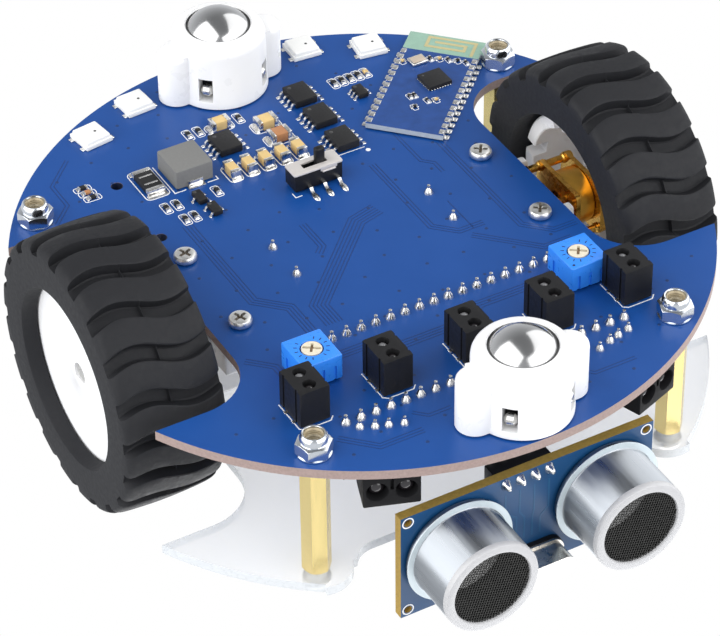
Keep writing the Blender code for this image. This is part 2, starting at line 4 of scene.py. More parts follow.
import bmesh
import bpy
from mathutils import Matrix, Vector


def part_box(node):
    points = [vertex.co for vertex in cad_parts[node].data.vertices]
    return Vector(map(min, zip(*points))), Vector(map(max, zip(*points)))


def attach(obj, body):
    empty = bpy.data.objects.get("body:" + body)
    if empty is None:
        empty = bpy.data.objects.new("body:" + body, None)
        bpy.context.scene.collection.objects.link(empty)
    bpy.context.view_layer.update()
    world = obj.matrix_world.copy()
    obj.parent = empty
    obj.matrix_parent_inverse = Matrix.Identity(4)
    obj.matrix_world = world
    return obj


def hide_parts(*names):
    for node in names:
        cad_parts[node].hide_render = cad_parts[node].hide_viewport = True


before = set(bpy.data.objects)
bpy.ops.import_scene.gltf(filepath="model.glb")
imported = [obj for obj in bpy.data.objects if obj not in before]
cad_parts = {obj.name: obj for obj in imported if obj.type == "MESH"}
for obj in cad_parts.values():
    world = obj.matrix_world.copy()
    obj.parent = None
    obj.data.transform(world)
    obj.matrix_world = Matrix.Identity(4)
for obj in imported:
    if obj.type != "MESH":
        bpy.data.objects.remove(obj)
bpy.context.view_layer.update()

MM = 0.001

# ---------------------------------------------------------------- driving dimensions (mm)
BOARD_R, BOARD_T = 55.0, 1.6
SLOT_X, SLOT_Y, SLOT_FILLET = 31.3, 25.0, 9.0
STANDOFF_LEN, STANDOFF_AF, POST_TURN = 21.0, 4.0, 13.6
POST_FRONT, POST_REAR = (31.2, -40.7), (42.3, 29.0)
BRACKET_HOLES = (26.6, 9.0)
AXLE_Y = -0.5
WHEEL_R, WHEEL_IN, WHEEL_OUT = 22.3, 35.5, 52.3
RIM_R, RIM_IN, RIM_OUT = 15.6, 45.9, 49.6      # the hub's edge inside the tyre
CASTER_Y, CASTER_R, CASTER_H = 47.2, 7.9, 12.0
BALL_R = 6.0
HEADER_Y, HEADER_ROW, PIN_PITCH = -28.6, 8.89, 2.54
SOCKET_H = 7.7
GAP = 0.3

# ---------------------------------------------------------------- local frames
def shift(x=0.0, y=0.0, z=0.0):
    return Matrix.Translation((x, y, z))


def spin(degrees, axis="Z"):
    return Matrix.Rotation(math.radians(degrees), 4, axis)


def frame_at(point):
    """The car's axes at a point in metres, for coordinates in millimetres."""
    return Matrix.Translation(point) @ Matrix.Diagonal((MM, MM, MM, 1.0))


board_lo, board_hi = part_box("main_board")
board_middle = (board_lo + board_hi) / 2
# Under the board: +Z runs down from its lower face and +X to the car's right.
UNDER = frame_at((board_middle.x, board_middle.y, board_lo.z)) @ spin(180, "Y")
# Above the board: the car's own axes, from the board's upper face.
ABOVE = frame_at((board_middle.x, board_middle.y, board_hi.z))


def under_board(node):
    """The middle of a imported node, in the frame under the board (mm)."""
    lo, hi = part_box(node)
    return UNDER.inverted() @ ((lo + hi) / 2)


# ---------------------------------------------------------------- shapes, added to a bmesh
HERE = Matrix.Identity(4)


def join_loops(bm, loops, closed=False):
    """Quads between loops of vertices that follow each other, and back to the first one if closed."""
    following = loops[1:] + loops[:1] if closed else loops[1:]
    for one, other in zip(loops, following):
        for i in range(len(one)):
            j = (i + 1) % len(one)
            bm.faces.new((one[i], one[j], other[j], other[i]))


def close_ends(bm, loops):
    bm.faces.new(loops[0])
    bm.faces.new(loops[-1][::-1])


def add_box(bm, size, centre=(0, 0, 0), bevel=0.0, segments=2, at=HERE):
    """A box with rounded edges; at is a matrix applied last."""
    matrix = at @ (shift(*centre) @ Matrix.Diagonal((*size, 1.0)))
    made = bmesh.ops.create_cube(bm, size=1.0, matrix=matrix)["verts"]
    if bevel > 0.0:
        edges = list({e for v in made for e in v.link_edges})
        bmesh.ops.bevel(bm, geom=edges, offset=bevel, segments=segments, profile=0.5, affect="EDGES")


def add_lathe(bm, profile, facets=32, at=HERE):
    """A turned solid about Z from (radius, height) pairs; a profile off the axis closes on itself."""
    rings = []
    for radius, height in profile:
        count = 1 if radius == 0.0 else facets
        angles = [2 * math.pi * i / facets for i in range(count)]
        rings.append([bm.verts.new(at @ Vector((radius * math.cos(a), radius * math.sin(a), height)))
                      for a in angles])
    pairs = list(zip(rings, rings[1:]))
    if profile[0][0] > 0.0:
        pairs.append((rings[-1], rings[0]))
    for one, other in pairs:
        for i in range(facets):
            j = (i + 1) % facets
            corners = [one[i % len(one)], one[j % len(one)], other[j % len(other)], other[i % len(other)]]
            distinct = list(dict.fromkeys(corners))
            if len(distinct) > 2:
                bm.faces.new(distinct)


def add_rod(bm, radius, z0, z1, facets=20, round_end=0.0, at=HERE):
    """A cylinder along Z, its upper end rounded."""
    profile = [(0.0, z0), (radius, z0), (radius, z1 - round_end)]
    if round_end > 0.0:
        profile.append((radius - round_end * 0.3, z1 - round_end * 0.3))
    add_lathe(bm, profile + [(radius - round_end, z1), (0.0, z1)], facets, at)


def add_slab(bm, outline, z0, z1, at=HERE, bevel=0.0, segments=3):
    """A flat part from one closed outline; the edge of its upper face is rounded by bevel."""
    low = [bm.verts.new(at @ Vector((x, y, z0))) for x, y in outline]
    high = [bm.verts.new(at @ Vector((x, y, z1))) for x, y in outline]
    bm.faces.new(low[::-1])
    top = bm.faces.new(high)
    join_loops(bm, [low, high])
    if bevel > 0.0:
        bmesh.ops.bevel(bm, geom=list(top.edges), offset=bevel, segments=segments, profile=0.5,
                        affect="EDGES")


def add_ring(bm, outer, inner, z0, z1):
    """A flat frame between two closed outlines with the same number of points."""
    loops = [[bm.verts.new((x, y, z)) for x, y in points]
             for points, z in ((outer, z0), (outer, z1), (inner, z1), (inner, z0))]
    join_loops(bm, loops, closed=True)


def add_strip(bm, path, width, z0, z1):
    """A flat line of even width along a path of (x, y) points."""
    points = [Vector(p) for p in path]
    sides = []
    for i, point in enumerate(points):
        before = (point - points[i - 1]).normalized() if i > 0 else None
        after = (points[i + 1] - point).normalized() if i < len(points) - 1 else None
        before = before or after
        after = after or before
        across = (before + after).normalized().orthogonal() * (width / 2)
        across /= max(0.5, math.sqrt((1 + before.dot(after)) / 2))
        sides.append((point + across, point - across))
    rows = [[bm.verts.new((p.x, p.y, z)) for p, z in ((a, z0), (a, z1), (b, z1), (b, z0))]
            for a, b in sides]
    join_loops(bm, rows)
    close_ends(bm, rows)


def add_bent_strip(bm, path, thick, width, at):
    """A bent metal leg: a path in the XZ plane with a thickness, as wide as width along Y."""
    points = [Vector(p) for p in path]
    rows = []
    for i, point in enumerate(points):
        before = (point - points[max(i - 1, 0)]).normalized()
        after = (points[min(i + 1, len(points) - 1)] - point).normalized()
        across = (before + after).normalized().orthogonal() * (thick / 2)
        ends = (point + across, point - across)
        rows.append([bm.verts.new(at @ Vector((p.x, y, p.y)))
                     for p, y in ((ends[0], -width / 2), (ends[0], width / 2),
                                  (ends[1], width / 2), (ends[1], -width / 2))])
    join_loops(bm, rows)
    close_ends(bm, rows)


def arc(centre, radius, start, end, steps):
    """Points along an arc, angles in degrees."""
    angles = [math.radians(start + (end - start) * i / steps) for i in range(steps + 1)]
    return [(centre[0] + radius * math.cos(a), centre[1] + radius * math.sin(a)) for a in angles]


def circle(centre, radius, facets=32):
    return arc(centre, radius, 0.0, 360.0, facets)[:-1]


def rounded_rectangle(width, length, radius, centre=(0, 0), steps=3):
    points = []
    for sx, sy, start in ((1, 1, 0), (-1, 1, 90), (-1, -1, 180), (1, -1, 270)):
        corner = (centre[0] + sx * (width / 2 - radius), centre[1] + sy * (length / 2 - radius))
        points += arc(corner, radius, start, start + 90, steps)
    return points


# ---------------------------------------------------------------- from a bmesh to a piece
def closed_mesh(bm):
    """The finished bmesh as a mesh, still in millimetres, with its faces pointing out."""
    bmesh.ops.recalc_face_normals(bm, faces=bm.faces)
    mesh = bpy.data.meshes.new("shape")
    bm.to_mesh(mesh)
    bm.free()
    return mesh


def solid(add, *shape, **options):
    """One shape as a closed mesh of its own; add is one of the add_ functions."""
    bm = bmesh.new()
    add(bm, *shape, **options)
    return closed_mesh(bm)


def combined(mesh, other, operation):
    """Boolean of two closed meshes, consuming both."""
    objects = [bpy.data.objects.new("work", m) for m in (mesh, other)]
    for obj in objects:
        bpy.context.scene.collection.objects.link(obj)
    boolean = objects[0].modifiers.new("boolean", "BOOLEAN")
    boolean.operation = operation
    boolean.object = objects[1]
    graph = bpy.context.evaluated_depsgraph_get()
    result = bpy.data.meshes.new_from_object(objects[0].evaluated_get(graph))
    for obj in objects:
        bpy.data.objects.remove(obj)
    return result


def cut(mesh, add, *shape, **options):
    """A closed mesh less one shape."""
    return combined(mesh, solid(add, *shape, **options), "DIFFERENCE")


def filled(outlines, z0, z1):
    """A flat part from an outline and the outlines of its holes (mm)."""
    curve = bpy.data.curves.new("outline", "CURVE")
    curve.dimensions = "2D"
    curve.fill_mode = "BOTH"
    curve.extrude = (z1 - z0) / 2
    for points in outlines:
        spline = curve.splines.new("POLY")
        spline.points.add(len(points) - 1)
        for point, (x, y) in zip(spline.points, points):
            point.co = (x, y, 0.0, 1.0)
        spline.use_cyclic_u = True
    work = bpy.data.objects.new("outline", curve)
    bpy.context.scene.collection.objects.link(work)
    mesh = bpy.data.meshes.new_from_object(work.evaluated_get(bpy.context.evaluated_depsgraph_get()))
    bpy.data.objects.remove(work)
    bm = bmesh.new()
    bm.from_mesh(mesh)
    bmesh.ops.remove_doubles(bm, verts=bm.verts, dist=1e-4)
    bmesh.ops.translate(bm, verts=bm.verts, vec=(0, 0, (z0 + z1) / 2))
    return bm


def piece(name, shape, finishes, body, place, replaces=(), side_finish=False, sharp=35.0):
    """A named piece from a bmesh or mesh in millimetres, put in its frame and on its body."""
    mesh = closed_mesh(shape) if isinstance(shape, bmesh.types.BMesh) else shape
    mesh.name = name
    mesh.materials.clear()
    for one in finishes if isinstance(finishes, tuple) else (finishes,):
        mesh.materials.append(one)
    for face in mesh.polygons:
        face.material_index = 1 if side_finish and abs(face.normal.z) < 0.5 else 0
    mesh.transform(place)
    mesh.shade_smooth()
    mesh.set_sharp_from_angle(angle=math.radians(sharp))
    obj = bpy.data.objects.new(name, mesh)
    bpy.context.scene.collection.objects.link(obj)
    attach(obj, body)
    if replaces:
        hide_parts(*replaces)


# ---------------------------------------------------------------- materials
def set_sockets(node, values):
    for name, value in values.items():
        node.inputs[name].default_value = value


def wire(links, *rows):
    """Links given as (node, output, node, input)."""
    for source, output, target, socket in rows:
        links.new(source.outputs[output], target.inputs[socket])


def finish(name, colour, roughness, metallic=0.0, grain=700.0, tone=0.08, polish=0.06, bump=0.0,
           stretch=(1, 1, 1), coat=0.0, alpha=1.0, specular=0.5):
    """A material whose tone, polish and surface vary by noise in the object's own space."""
    made = bpy.data.materials.new(name)
    made.use_nodes = True
    nodes, links = made.node_tree.nodes, made.node_tree.links
    shader = nodes["Principled BSDF"]
    set_sockets(shader, {"Metallic": metallic, "Coat Weight": coat, "Coat Roughness": 0.08, "Alpha": alpha,
                         "Specular IOR Level": specular})
    where = nodes.new("ShaderNodeTexCoord")
    scaling = nodes.new("ShaderNodeMapping")
    set_sockets(scaling, {"Scale": stretch})
    noise = nodes.new("ShaderNodeTexNoise")
    set_sockets(noise, {"Scale": grain, "Detail": 3.0})
    mix = nodes.new("ShaderNodeMix")
    mix.data_type = "RGBA"
    set_sockets(mix, {"A": (*[c * (1 - tone) for c in colour], 1.0),
                      "B": (*[min(1.0, c * (1 + tone)) for c in colour], 1.0)})
    spread = nodes.new("ShaderNodeMapRange")
    set_sockets(spread, {"From Min": 0.3, "From Max": 0.7, "To Min": max(0.02, roughness - polish),
                         "To Max": roughness + polish})
    wire(links, (where, "Object", scaling, "Vector"), (scaling, "Vector", noise, "Vector"),
         (noise, "Fac", mix, "Factor"), (mix, "Result", shader, "Base Color"),
         (noise, "Fac", spread, "Value"), (spread, "Result", shader, "Roughness"))
    if bump > 0.0:
        relief = nodes.new("ShaderNodeBump")
        set_sockets(relief, {"Strength": 0.6, "Distance": bump * MM})
        wire(links, (noise, "Fac", relief, "Height"), (relief, "Normal", shader, "Normal"))
    return made


BLUE = finish("blue_solder_mask", (0.006, 0.062, 0.27), 0.34, grain=160.0, tone=0.07, polish=0.04, coat=0.03,
              specular=0.38)
BLUE_TRACE = finish("blue_over_copper", (0.004, 0.036, 0.165), 0.34, grain=300.0, tone=0.05, coat=0.04)
VIA_DARK = finish("covered_via", (0.004, 0.03, 0.13), 0.34, grain=900.0, tone=0.2, coat=0.04)
BLUE_EDGE = finish("blue_board_edge", (0.31, 0.23, 0.21), 0.75, grain=2500.0, tone=0.3, bump=0.03)
TEAL = finish("teal_solder_mask", (0.006, 0.06, 0.17), 0.42, grain=250.0, tone=0.15, coat=0.02, specular=0.4)
TEAL_TRACE = finish("teal_over_copper", (0.01, 0.085, 0.2), 0.42, grain=250.0, tone=0.15, specular=0.4)
TEAL_EDGE = finish("teal_board_edge", (0.36, 0.235, 0.045), 0.7, grain=2200.0, tone=0.35, bump=0.03)
RADIO_BLUE = finish("radio_solder_mask", (0.01, 0.055, 0.23), 0.36, grain=700.0, tone=0.3, coat=0.04)
RADIO_BARE = finish("radio_bare_laminate", (0.27, 0.43, 0.34), 0.45, grain=900.0, tone=0.12, bump=0.01)
RADIO_EDGE = finish("radio_board_edge", (0.55, 0.6, 0.62), 0.4, 0.3, grain=1500.0, tone=0.15)
ANTENNA = finish("antenna_metal", (0.5, 0.44, 0.23), 0.45, grain=900.0)
SILK = finish("white_marking", (0.86, 0.87, 0.88), 0.6, grain=2500.0, tone=0.06)
TIN = finish("tinned_metal", (0.78, 0.77, 0.75), 0.22, 1.0, grain=1600.0, tone=0.12, polish=0.12, bump=0.05)
STEEL = finish("plated_steel", (0.7, 0.69, 0.66), 0.24, 1.0, grain=900.0, tone=0.1, polish=0.1, bump=0.01)
NUT_STEEL = finish("zinc_plated_nut", (0.75, 0.78, 0.82), 0.16, 1.0, grain=500.0, tone=0.08, polish=0.08)
NYLON = finish("threaded_insert", (0.42, 0.35, 0.23), 0.4, 0.3, grain=1500.0, tone=0.12)
CHROME = finish("polished_ball", (0.56, 0.56, 0.56), 0.17, 1.0, grain=500.0, tone=0.03, polish=0.03)
BRASS = finish("turned_brass", (0.9, 0.72, 0.32), 0.24, 1.0, grain=600.0, tone=0.05, polish=0.03,
               stretch=(1, 1, 0.12))
GEAR_BRASS = finish("gear_brass", (0.7, 0.4, 0.08), 0.25, 1.0, grain=900.0, tone=0.15, polish=0.1, bump=0.01)
SLEEVE_BRASS = finish("sleeve_brass", (0.78, 0.47, 0.09), 0.36, 1.0, grain=900.0, tone=0.1, polish=0.06)
ALUMINIUM = finish("drawn_aluminium", (0.34, 0.36, 0.385), 0.32, 1.0, grain=900.0, tone=0.12, polish=0.09,
                   stretch=(1, 0.06, 1), bump=0.015)
CAN_RIM = finish("spun_rim", (0.5, 0.5, 0.51), 0.5, 0.2, grain=1500.0, tone=0.06, bump=0.01)
CAN_FLOOR = finish("can_floor", (0.93, 0.93, 0.92), 0.6, grain=900.0, tone=0.03)
CAN_FLANGE = finish("can_flange", (0.62, 0.7, 0.74), 0.45, 0.3, grain=1500.0, tone=0.06)
CRYSTAL = finish("crystal_case", (0.74, 0.71, 0.66), 0.3, 1.0, grain=900.0, tone=0.08, polish=0.08)
MOTOR_STEEL = finish("motor_case", (0.66, 0.66, 0.66), 0.28, 1.0, grain=800.0, tone=0.08, stretch=(0.1, 1, 1))
WHITE = finish("white_moulding", (0.84, 0.84, 0.84), 0.3, grain=350.0, tone=0.02, polish=0.05, bump=0.01)
HUB_WHITE = finish("white_hub", (0.86, 0.86, 0.87), 0.32, grain=300.0, tone=0.02, polish=0.05, bump=0.012)
ACRYLIC = finish("clear_acrylic_face", (0.9, 0.92, 0.95), 0.06, grain=200.0, tone=0.01, polish=0.02,
                 alpha=0.3)
ACRYLIC_EDGE = finish("clear_acrylic_edge", (0.62, 0.65, 0.68), 0.3, grain=1200.0, tone=0.08, alpha=0.75,
                      bump=0.02)
RUBBER = finish("tyre_rubber", (0.0115, 0.012, 0.0145), 0.66, grain=1300.0, tone=0.22, polish=0.08, bump=0.05,
                specular=0.3)
BLACK = finish("black_moulding", (0.008, 0.008, 0.009), 0.45, grain=1400.0, tone=0.2, polish=0.08, bump=0.02,
               specular=0.3)
EYE_BLACK = finish("eye_block_black", (0.008, 0.008, 0.009), 0.6, grain=1400.0, tone=0.2, bump=0.02,
                   specular=0.1)
SCREW_STEEL = finish("screw_steel", (0.88, 0.87, 0.84), 0.34, 1.0, grain=900.0, tone=0.06, polish=0.08)
CHIP = finish("chip_epoxy", (0.013, 0.013, 0.014), 0.55, grain=2600.0, tone=0.3, polish=0.08, bump=0.02,
              specular=0.35)
CHIP_MARK = finish("chip_dimple", (0.05, 0.05, 0.05), 0.35, grain=1500.0)
DARK_LENS = finish("dark_lens", (0.012, 0.01, 0.012), 0.06, grain=800.0, tone=0.1, polish=0.02, coat=0.6)
CLEAR_LENS = finish("clear_lens", (0.2, 0.2, 0.21), 0.06, grain=800.0, tone=0.1, polish=0.02, coat=0.6)
INDUCTOR = finish("pressed_ferrite", (0.18, 0.18, 0.175), 0.6, grain=2200.0, tone=0.12, bump=0.03,
                  specular=0.3)
TAN = finish("tan_ceramic", (0.66, 0.47, 0.2), 0.4, grain=1500.0, tone=0.08, bump=0.01)
BROWN = finish("brown_ceramic", (0.42, 0.19, 0.08), 0.4, grain=1500.0, tone=0.1, bump=0.01)
SWITCH_COVER = finish("switch_cover", (0.62, 0.585, 0.56), 0.42, 0.3, grain=900.0, tone=0.08, polish=0.08)
# painted shade for the bottom of a screw's cross recess
RECESS_SHADE = finish("recess_painted_shade", (0.1, 0.075, 0.05), 0.5, 0.5, grain=1800.0, tone=0.3)
CRYSTAL_TOP = finish("module_crystal", (0.6, 0.5, 0.4), 0.35, 0.3, grain=900.0, tone=0.06)
LED_WHITE = finish("led_housing", (0.85, 0.85, 0.83), 0.35, grain=900.0, tone=0.02, bump=0.01)
TRIM_BLUE = finish("trimmer_moulding", (0.03, 0.24, 0.86), 0.32, grain=900.0, tone=0.06, bump=0.01)
ROTOR_CREAM = finish("rotor_cream", (0.7, 0.64, 0.5), 0.45, grain=1500.0, tone=0.1, bump=0.02)
# painted shade for the floor of a trimmer rotor's slot
ROTOR_SLOT_SHADE = finish("rotor_slot_painted_shade", (0.22, 0.14, 0.08), 0.6, grain=1800.0, tone=0.3)
# dark ink for printed marks, also used as painted shade lining the guide holes
INK_AND_HOLE_SHADE = finish("dark_ink_and_hole_shade", (0.006, 0.012, 0.04), 0.5, grain=1500.0, tone=0.2)
CELL_WRAP = finish("cell_wrap", (0.07, 0.25, 0.12), 0.3, grain=300.0, tone=0.05, coat=0.4)
MESH_BLACK = finish("mesh_wire", (0.04, 0.04, 0.038), 0.45, 0.6, grain=1500.0, tone=0.2)
MOTOR_CAP = finish("motor_end_cap", (0.75, 0.74, 0.7), 0.4, grain=900.0, tone=0.03)


# ---------------------------------------------------------------- camera, floor and light
# The camera fitted to the photographed view, in the frame under the board: angles, then millimetres.
AZIMUTH, ELEVATION, ROLL = -29.19, 39.31, -0.69
DISTANCE, ASIDE, ABOVE_AIM = 555.84, -0.365, -12.813
LENS, SENSOR = 178.6, 36.0


def in_scene(name, data):
    """A new object in the scene, for a mesh, a lamp or a camera."""
    obj = bpy.data.objects.new(name, data)
    bpy.context.scene.collection.objects.link(obj)
    return obj


def aim_camera():
    """The car is photographed turned over, so the camera looks up at it from below the floor."""
    azimuth, elevation, roll = (math.radians(a) for a in (AZIMUTH, ELEVATION, ROLL))
    back = Vector((math.sin(azimuth) * math.cos(elevation), -math.cos(azimuth) * math.cos(elevation),
                   math.sin(elevation)))
    level = Vector((0, 0, 1)).cross(back).normalized()
    upright = back.cross(level)
    right = level * math.cos(roll) + upright * math.sin(roll)
    up = back.cross(right)
    spot = back * DISTANCE + right * ASIDE + up * ABOVE_AIM
    turned = Matrix((right, up, back)).transposed().to_4x4()
    camera = bpy.data.cameras.new("camera")
    camera.lens = LENS
    camera.sensor_width = SENSOR
    camera.clip_start = 0.01
    camera.clip_end = 10.0
    holder = in_scene("camera", camera)
    place, rotation, _ = (UNDER @ Matrix.Translation(spot) @ turned).decompose()
    holder.matrix_world = Matrix.Translation(place) @ rotation.to_matrix().to_4x4()
    bpy.context.scene.camera = holder


def lay_floor():
    """A pale floor that shows only from above: from below it is clear and casts no shadow."""
    bm = bmesh.new()
    bmesh.ops.create_grid(bm, x_segments=1, y_segments=1, size=1.5)
    mesh = bpy.data.meshes.new("floor")
    bm.to_mesh(mesh)
    bm.free()
    floor = in_scene("floor", mesh)
    made = bpy.data.materials.new("pale_floor")
    made.use_nodes = True
    nodes, links = made.node_tree.nodes, made.node_tree.links
    shader = nodes["Principled BSDF"]
    set_sockets(shader, {"Base Color": (0.82, 0.82, 0.82, 1.0), "Roughness": 0.8})
    clear = nodes.new("ShaderNodeBsdfTransparent")
    side = nodes.new("ShaderNodeNewGeometry")
    choice = nodes.new("ShaderNodeMixShader")
    wire(links, (side, "Backfacing", choice, "Fac"), (shader, "BSDF", choice, 1), (clear, "BSDF", choice, 2),
         (choice, "Shader", nodes["Material Output"], "Surface"))
    mesh.materials.append(made)
    floor.visible_shadow = False
    floor.visible_diffuse = False
    floor.visible_glossy = False


# Strength of the surround straight below the car, where the camera stands, and from the horizon up.
SURROUND_BELOW, SURROUND_LEVEL = 0.27, 0.8
# Soft boxes: direction in the frame under the board, side (m), watts. All stand BOX_DISTANCE (mm) away.
BOX_DISTANCE = 600.0
SOFT_BOXES = (
    ("key", (-0.841, -0.009, 0.531), 0.97, 6.6),
    ("front", (0.327, -0.83, 0.463), 0.56, 2.0),
    ("side", (0.899, -0.134, 0.408), 1.0, 4.4),
    ("overhead", (0.2, -0.15, -0.97), 0.8, 4.0),
)


def light_up():
    """Three soft boxes over the turned-over car, one over its upper side, and a graded surround."""
    world = bpy.data.worlds.new("surround")
    world.use_nodes = True
    bpy.context.scene.world = world
    nodes, links = world.node_tree.nodes, world.node_tree.links
    seen = nodes["Background"]
    set_sockets(seen, {"Color": (1.0, 1.0, 1.0, 1.0), "Strength": 1.0})
    fill = nodes.new("ShaderNodeBackground")
    set_sockets(fill, {"Color": (0.95, 0.97, 1.0, 1.0)})
    where = nodes.new("ShaderNodeTexCoord")
    parts = nodes.new("ShaderNodeSeparateXYZ")
    grade = nodes.new("ShaderNodeMapRange")
    set_sockets(grade, {"From Min": -0.9, "From Max": -0.05, "To Min": SURROUND_BELOW,
                        "To Max": SURROUND_LEVEL})
    rays = nodes.new("ShaderNodeLightPath")
    choice = nodes.new("ShaderNodeMixShader")
    wire(links, (where, "Generated", parts, "Vector"), (parts, "Z", grade, "Value"),
         (grade, "Result", fill, "Strength"), (rays, "Is Camera Ray", choice, "Fac"),
         (fill, "Background", choice, 1), (seen, "Background", choice, 2),
         (choice, "Shader", nodes["World Output"], "Surface"))
    centre = UNDER.translation
    for name, toward, size, power in SOFT_BOXES:
        lamp = bpy.data.lights.new(name, "AREA")
        lamp.shape = "SQUARE"
        lamp.size = size
        lamp.energy = power
        spot = UNDER @ (Vector(toward).normalized() * BOX_DISTANCE)
        facing = (spot - centre).to_track_quat("Z", "Y").to_matrix().to_4x4()
        in_scene(name, lamp).matrix_world = Matrix.Translation(spot) @ facing


# ---------------------------------------------------------------- the two round plates
POST_HOLE, SCREW_HOLE, GUIDE_HOLE = 1.55, 1.25, 1.0     # radii
GUIDE_HOLES = ((27.3, 30.7), (27.3, 15.4))
PLATE_T = 1.6


def wheel_slot(side):
    """The slot's outline on one side, from the front rim to the rear rim."""
    edge = math.sqrt(BOARD_R ** 2 - SLOT_Y ** 2)
    x, y = SLOT_X + SLOT_FILLET, SLOT_Y - SLOT_FILLET
    points = [(edge, -SLOT_Y)] + arc((x, -y), SLOT_FILLET, 270, 180, 12)
    points += arc((x, y), SLOT_FILLET, 180, 90, 12) + [(edge, SLOT_Y)]
    return [(side * px, py) for px, py in points]


def rim(start, end):
    return arc((0, 0), BOARD_R, start, end, 64)[1:-1]


def rear_and_slots():
    """The outline from the right slot round the rear rim to the left slot, and the angle of a slot's edge."""
    tip = math.degrees(math.asin(SLOT_Y / BOARD_R))
    return wheel_slot(1) + rim(tip, 180 - tip) + wheel_slot(-1)[::-1], tip


def board_outline():
    rest, tip = rear_and_slots()
    return rim(-180 + tip, -tip) + rest


def plate_outline():
    """As the board, with a shallow notch in front for the distance sensor."""
    rest, tip = rear_and_slots()
    corner = math.degrees(math.acos(32.0 / BOARD_R))
    half = arc((0, 0), BOARD_R, -tip, -corner, 32)[1:]
    half += arc((30.6, -40.7), 5.0, -73, -162, 14)
    half += arc((21.3, -44.4), 4.4, 30, 90, 10)
    return [(-x, y) for x, y in half] + half[::-1] + rest


SIDES = (("left", 1), ("right", -1))


def posts():
    """Name and place of the four posts, in the car's axes."""
    for side, sign in SIDES:
        for end, (x, y) in (("front", POST_FRONT), ("rear", POST_REAR)):
            yield f"{end}_{side}", sign * x, y


def bracket_screws():
    x, reach = BRACKET_HOLES
    for side, sign in SIDES:
        for end, along in (("front", -reach), ("rear", reach)):
            yield f"{end}_{side}", sign * x, AXLE_Y + along


def make_plates():
    post_holes = [circle((x, y), POST_HOLE) for _, x, y in posts()]
    small_holes = [circle((x, y), SCREW_HOLE, 24) for _, x, y in bracket_screws()]
    small_holes += [circle(spot, GUIDE_HOLE, 24) for spot in GUIDE_HOLES]
    board = filled([board_outline(), *post_holes, *small_holes], -BOARD_T, 0)
    piece("circuit_board", board, (BLUE, BLUE_EDGE), "chassis", ABOVE, ("main_board",),
          side_finish=True, sharp=20)
    # dark tubes lining the guide holes' walls are painted shade inside the holes
    hole_lining_shade = bmesh.new()
    for spot in GUIDE_HOLES:
        add_ring(hole_lining_shade, circle(spot, 0.99, 24), circle(spot, 0.9, 24), 0.05 - BOARD_T, -0.02)
    piece("guide_hole_painted_shade", hole_lining_shade, INK_AND_HOLE_SHADE, "chassis", ABOVE)
    plate = filled([plate_outline(), *post_holes], STANDOFF_LEN, STANDOFF_LEN + PLATE_T)
    piece("acrylic_plate", plate, (ACRYLIC, ACRYLIC_EDGE), "chassis", ABOVE,
          ("upper_plate",), side_finish=True, sharp=20)


# ---------------------------------------------------------------- posts, nuts and screws
NUT_AF = 5.0
# (radius, height) from the board's lower face.
COLLAR = [(1.6, 2.15), (2.14, 2.15), (2.14, 3.05), (2.0, 3.5), (1.78, 3.75), (1.6, 3.72), (1.5, 3.5),
          (1.5, 2.2)]
WASHER = [(1.5, 0.02), (2.55, 0.02), (2.68, 0.12), (2.68, 0.28), (1.5, 0.28)]
INSERT = [(1.25, 2.2), (1.55, 2.2), (1.52, 3.4), (1.42, 3.47)]
INSERT += [(1.34 - 0.08 * (k % 2), 3.35 - 0.18 * k) for k in range(6)]
NUT_PARTS = (("collar", COLLAR, NUT_STEEL), ("washer", WASHER, NUT_STEEL), ("insert", INSERT, NYLON))
RECESS_LONG, RECESS_WIDE = 2.0, 0.42


def hexagon(across_flats):
    radius = across_flats / math.sqrt(3)
    angles = [math.radians(60 * i) for i in range(6)]
    return [(radius * math.cos(a), radius * math.sin(a)) for a in angles]


def hex_block(across_flats, z0, z1, chamfer_low=0.0, chamfer_high=0.0):
    """A hexagonal bar whose corners are turned off at its ends."""
    corner, inner = across_flats / math.sqrt(3) * 1.01, across_flats / 2 * 0.97
    profile = [(0.0, z0), (inner, z0), (corner, z0 + chamfer_low), (corner, z1 - chamfer_high), (inner, z1),
               (0.0, z1)]
    bar = solid(add_slab, hexagon(across_flats), z0, z1)
    return combined(bar, solid(add_lathe, profile, 48), "INTERSECT")


THREAD_PITCH = 0.5


def thread_profile(radius, z0, z1):
    """The profile of a threaded stud, as even rings."""
    profile = [(0.0, z0), (radius * 0.9, z0)]
    turns = int((z1 - z0) / THREAD_PITCH)
    for i in range(turns):
        low = z0 + (z1 - z0) * i / turns
        profile += [(radius, low + THREAD_PITCH * 0.4), (radius * 0.88, low + THREAD_PITCH * 0.85)]
    return profile + [(radius * 0.8, z1), (0.0, z1)]


def cross_head(radius, height, shank, length):
    """A flat pan-head cross-recess screw, head up, resting on Z = 0."""
    profile = [(0.0, height), (0.7 * radius, height), (0.88 * radius, 0.9 * height),
               (0.98 * radius, 0.66 * height), (radius, 0.4 * height), (radius, 0.1 * height),
               (0.96 * radius, 0.0), (shank, 0.0), (shank, -length), (0.0, -length)]
    head = solid(add_lathe, profile, 40)
    for turn in (0, 90):
        head = cut(head, add_box, (radius * 1.2, radius * 0.26, height * 1.2),
                   at=shift(0, 0, height) @ spin(turn))
    point = [(0.0, height * 1.4), (radius * 0.5, height * 1.4), (radius * 0.12, height * 0.35),
             (0.0, height * 0.35)]
    return cut(head, add_lathe, point, 4)


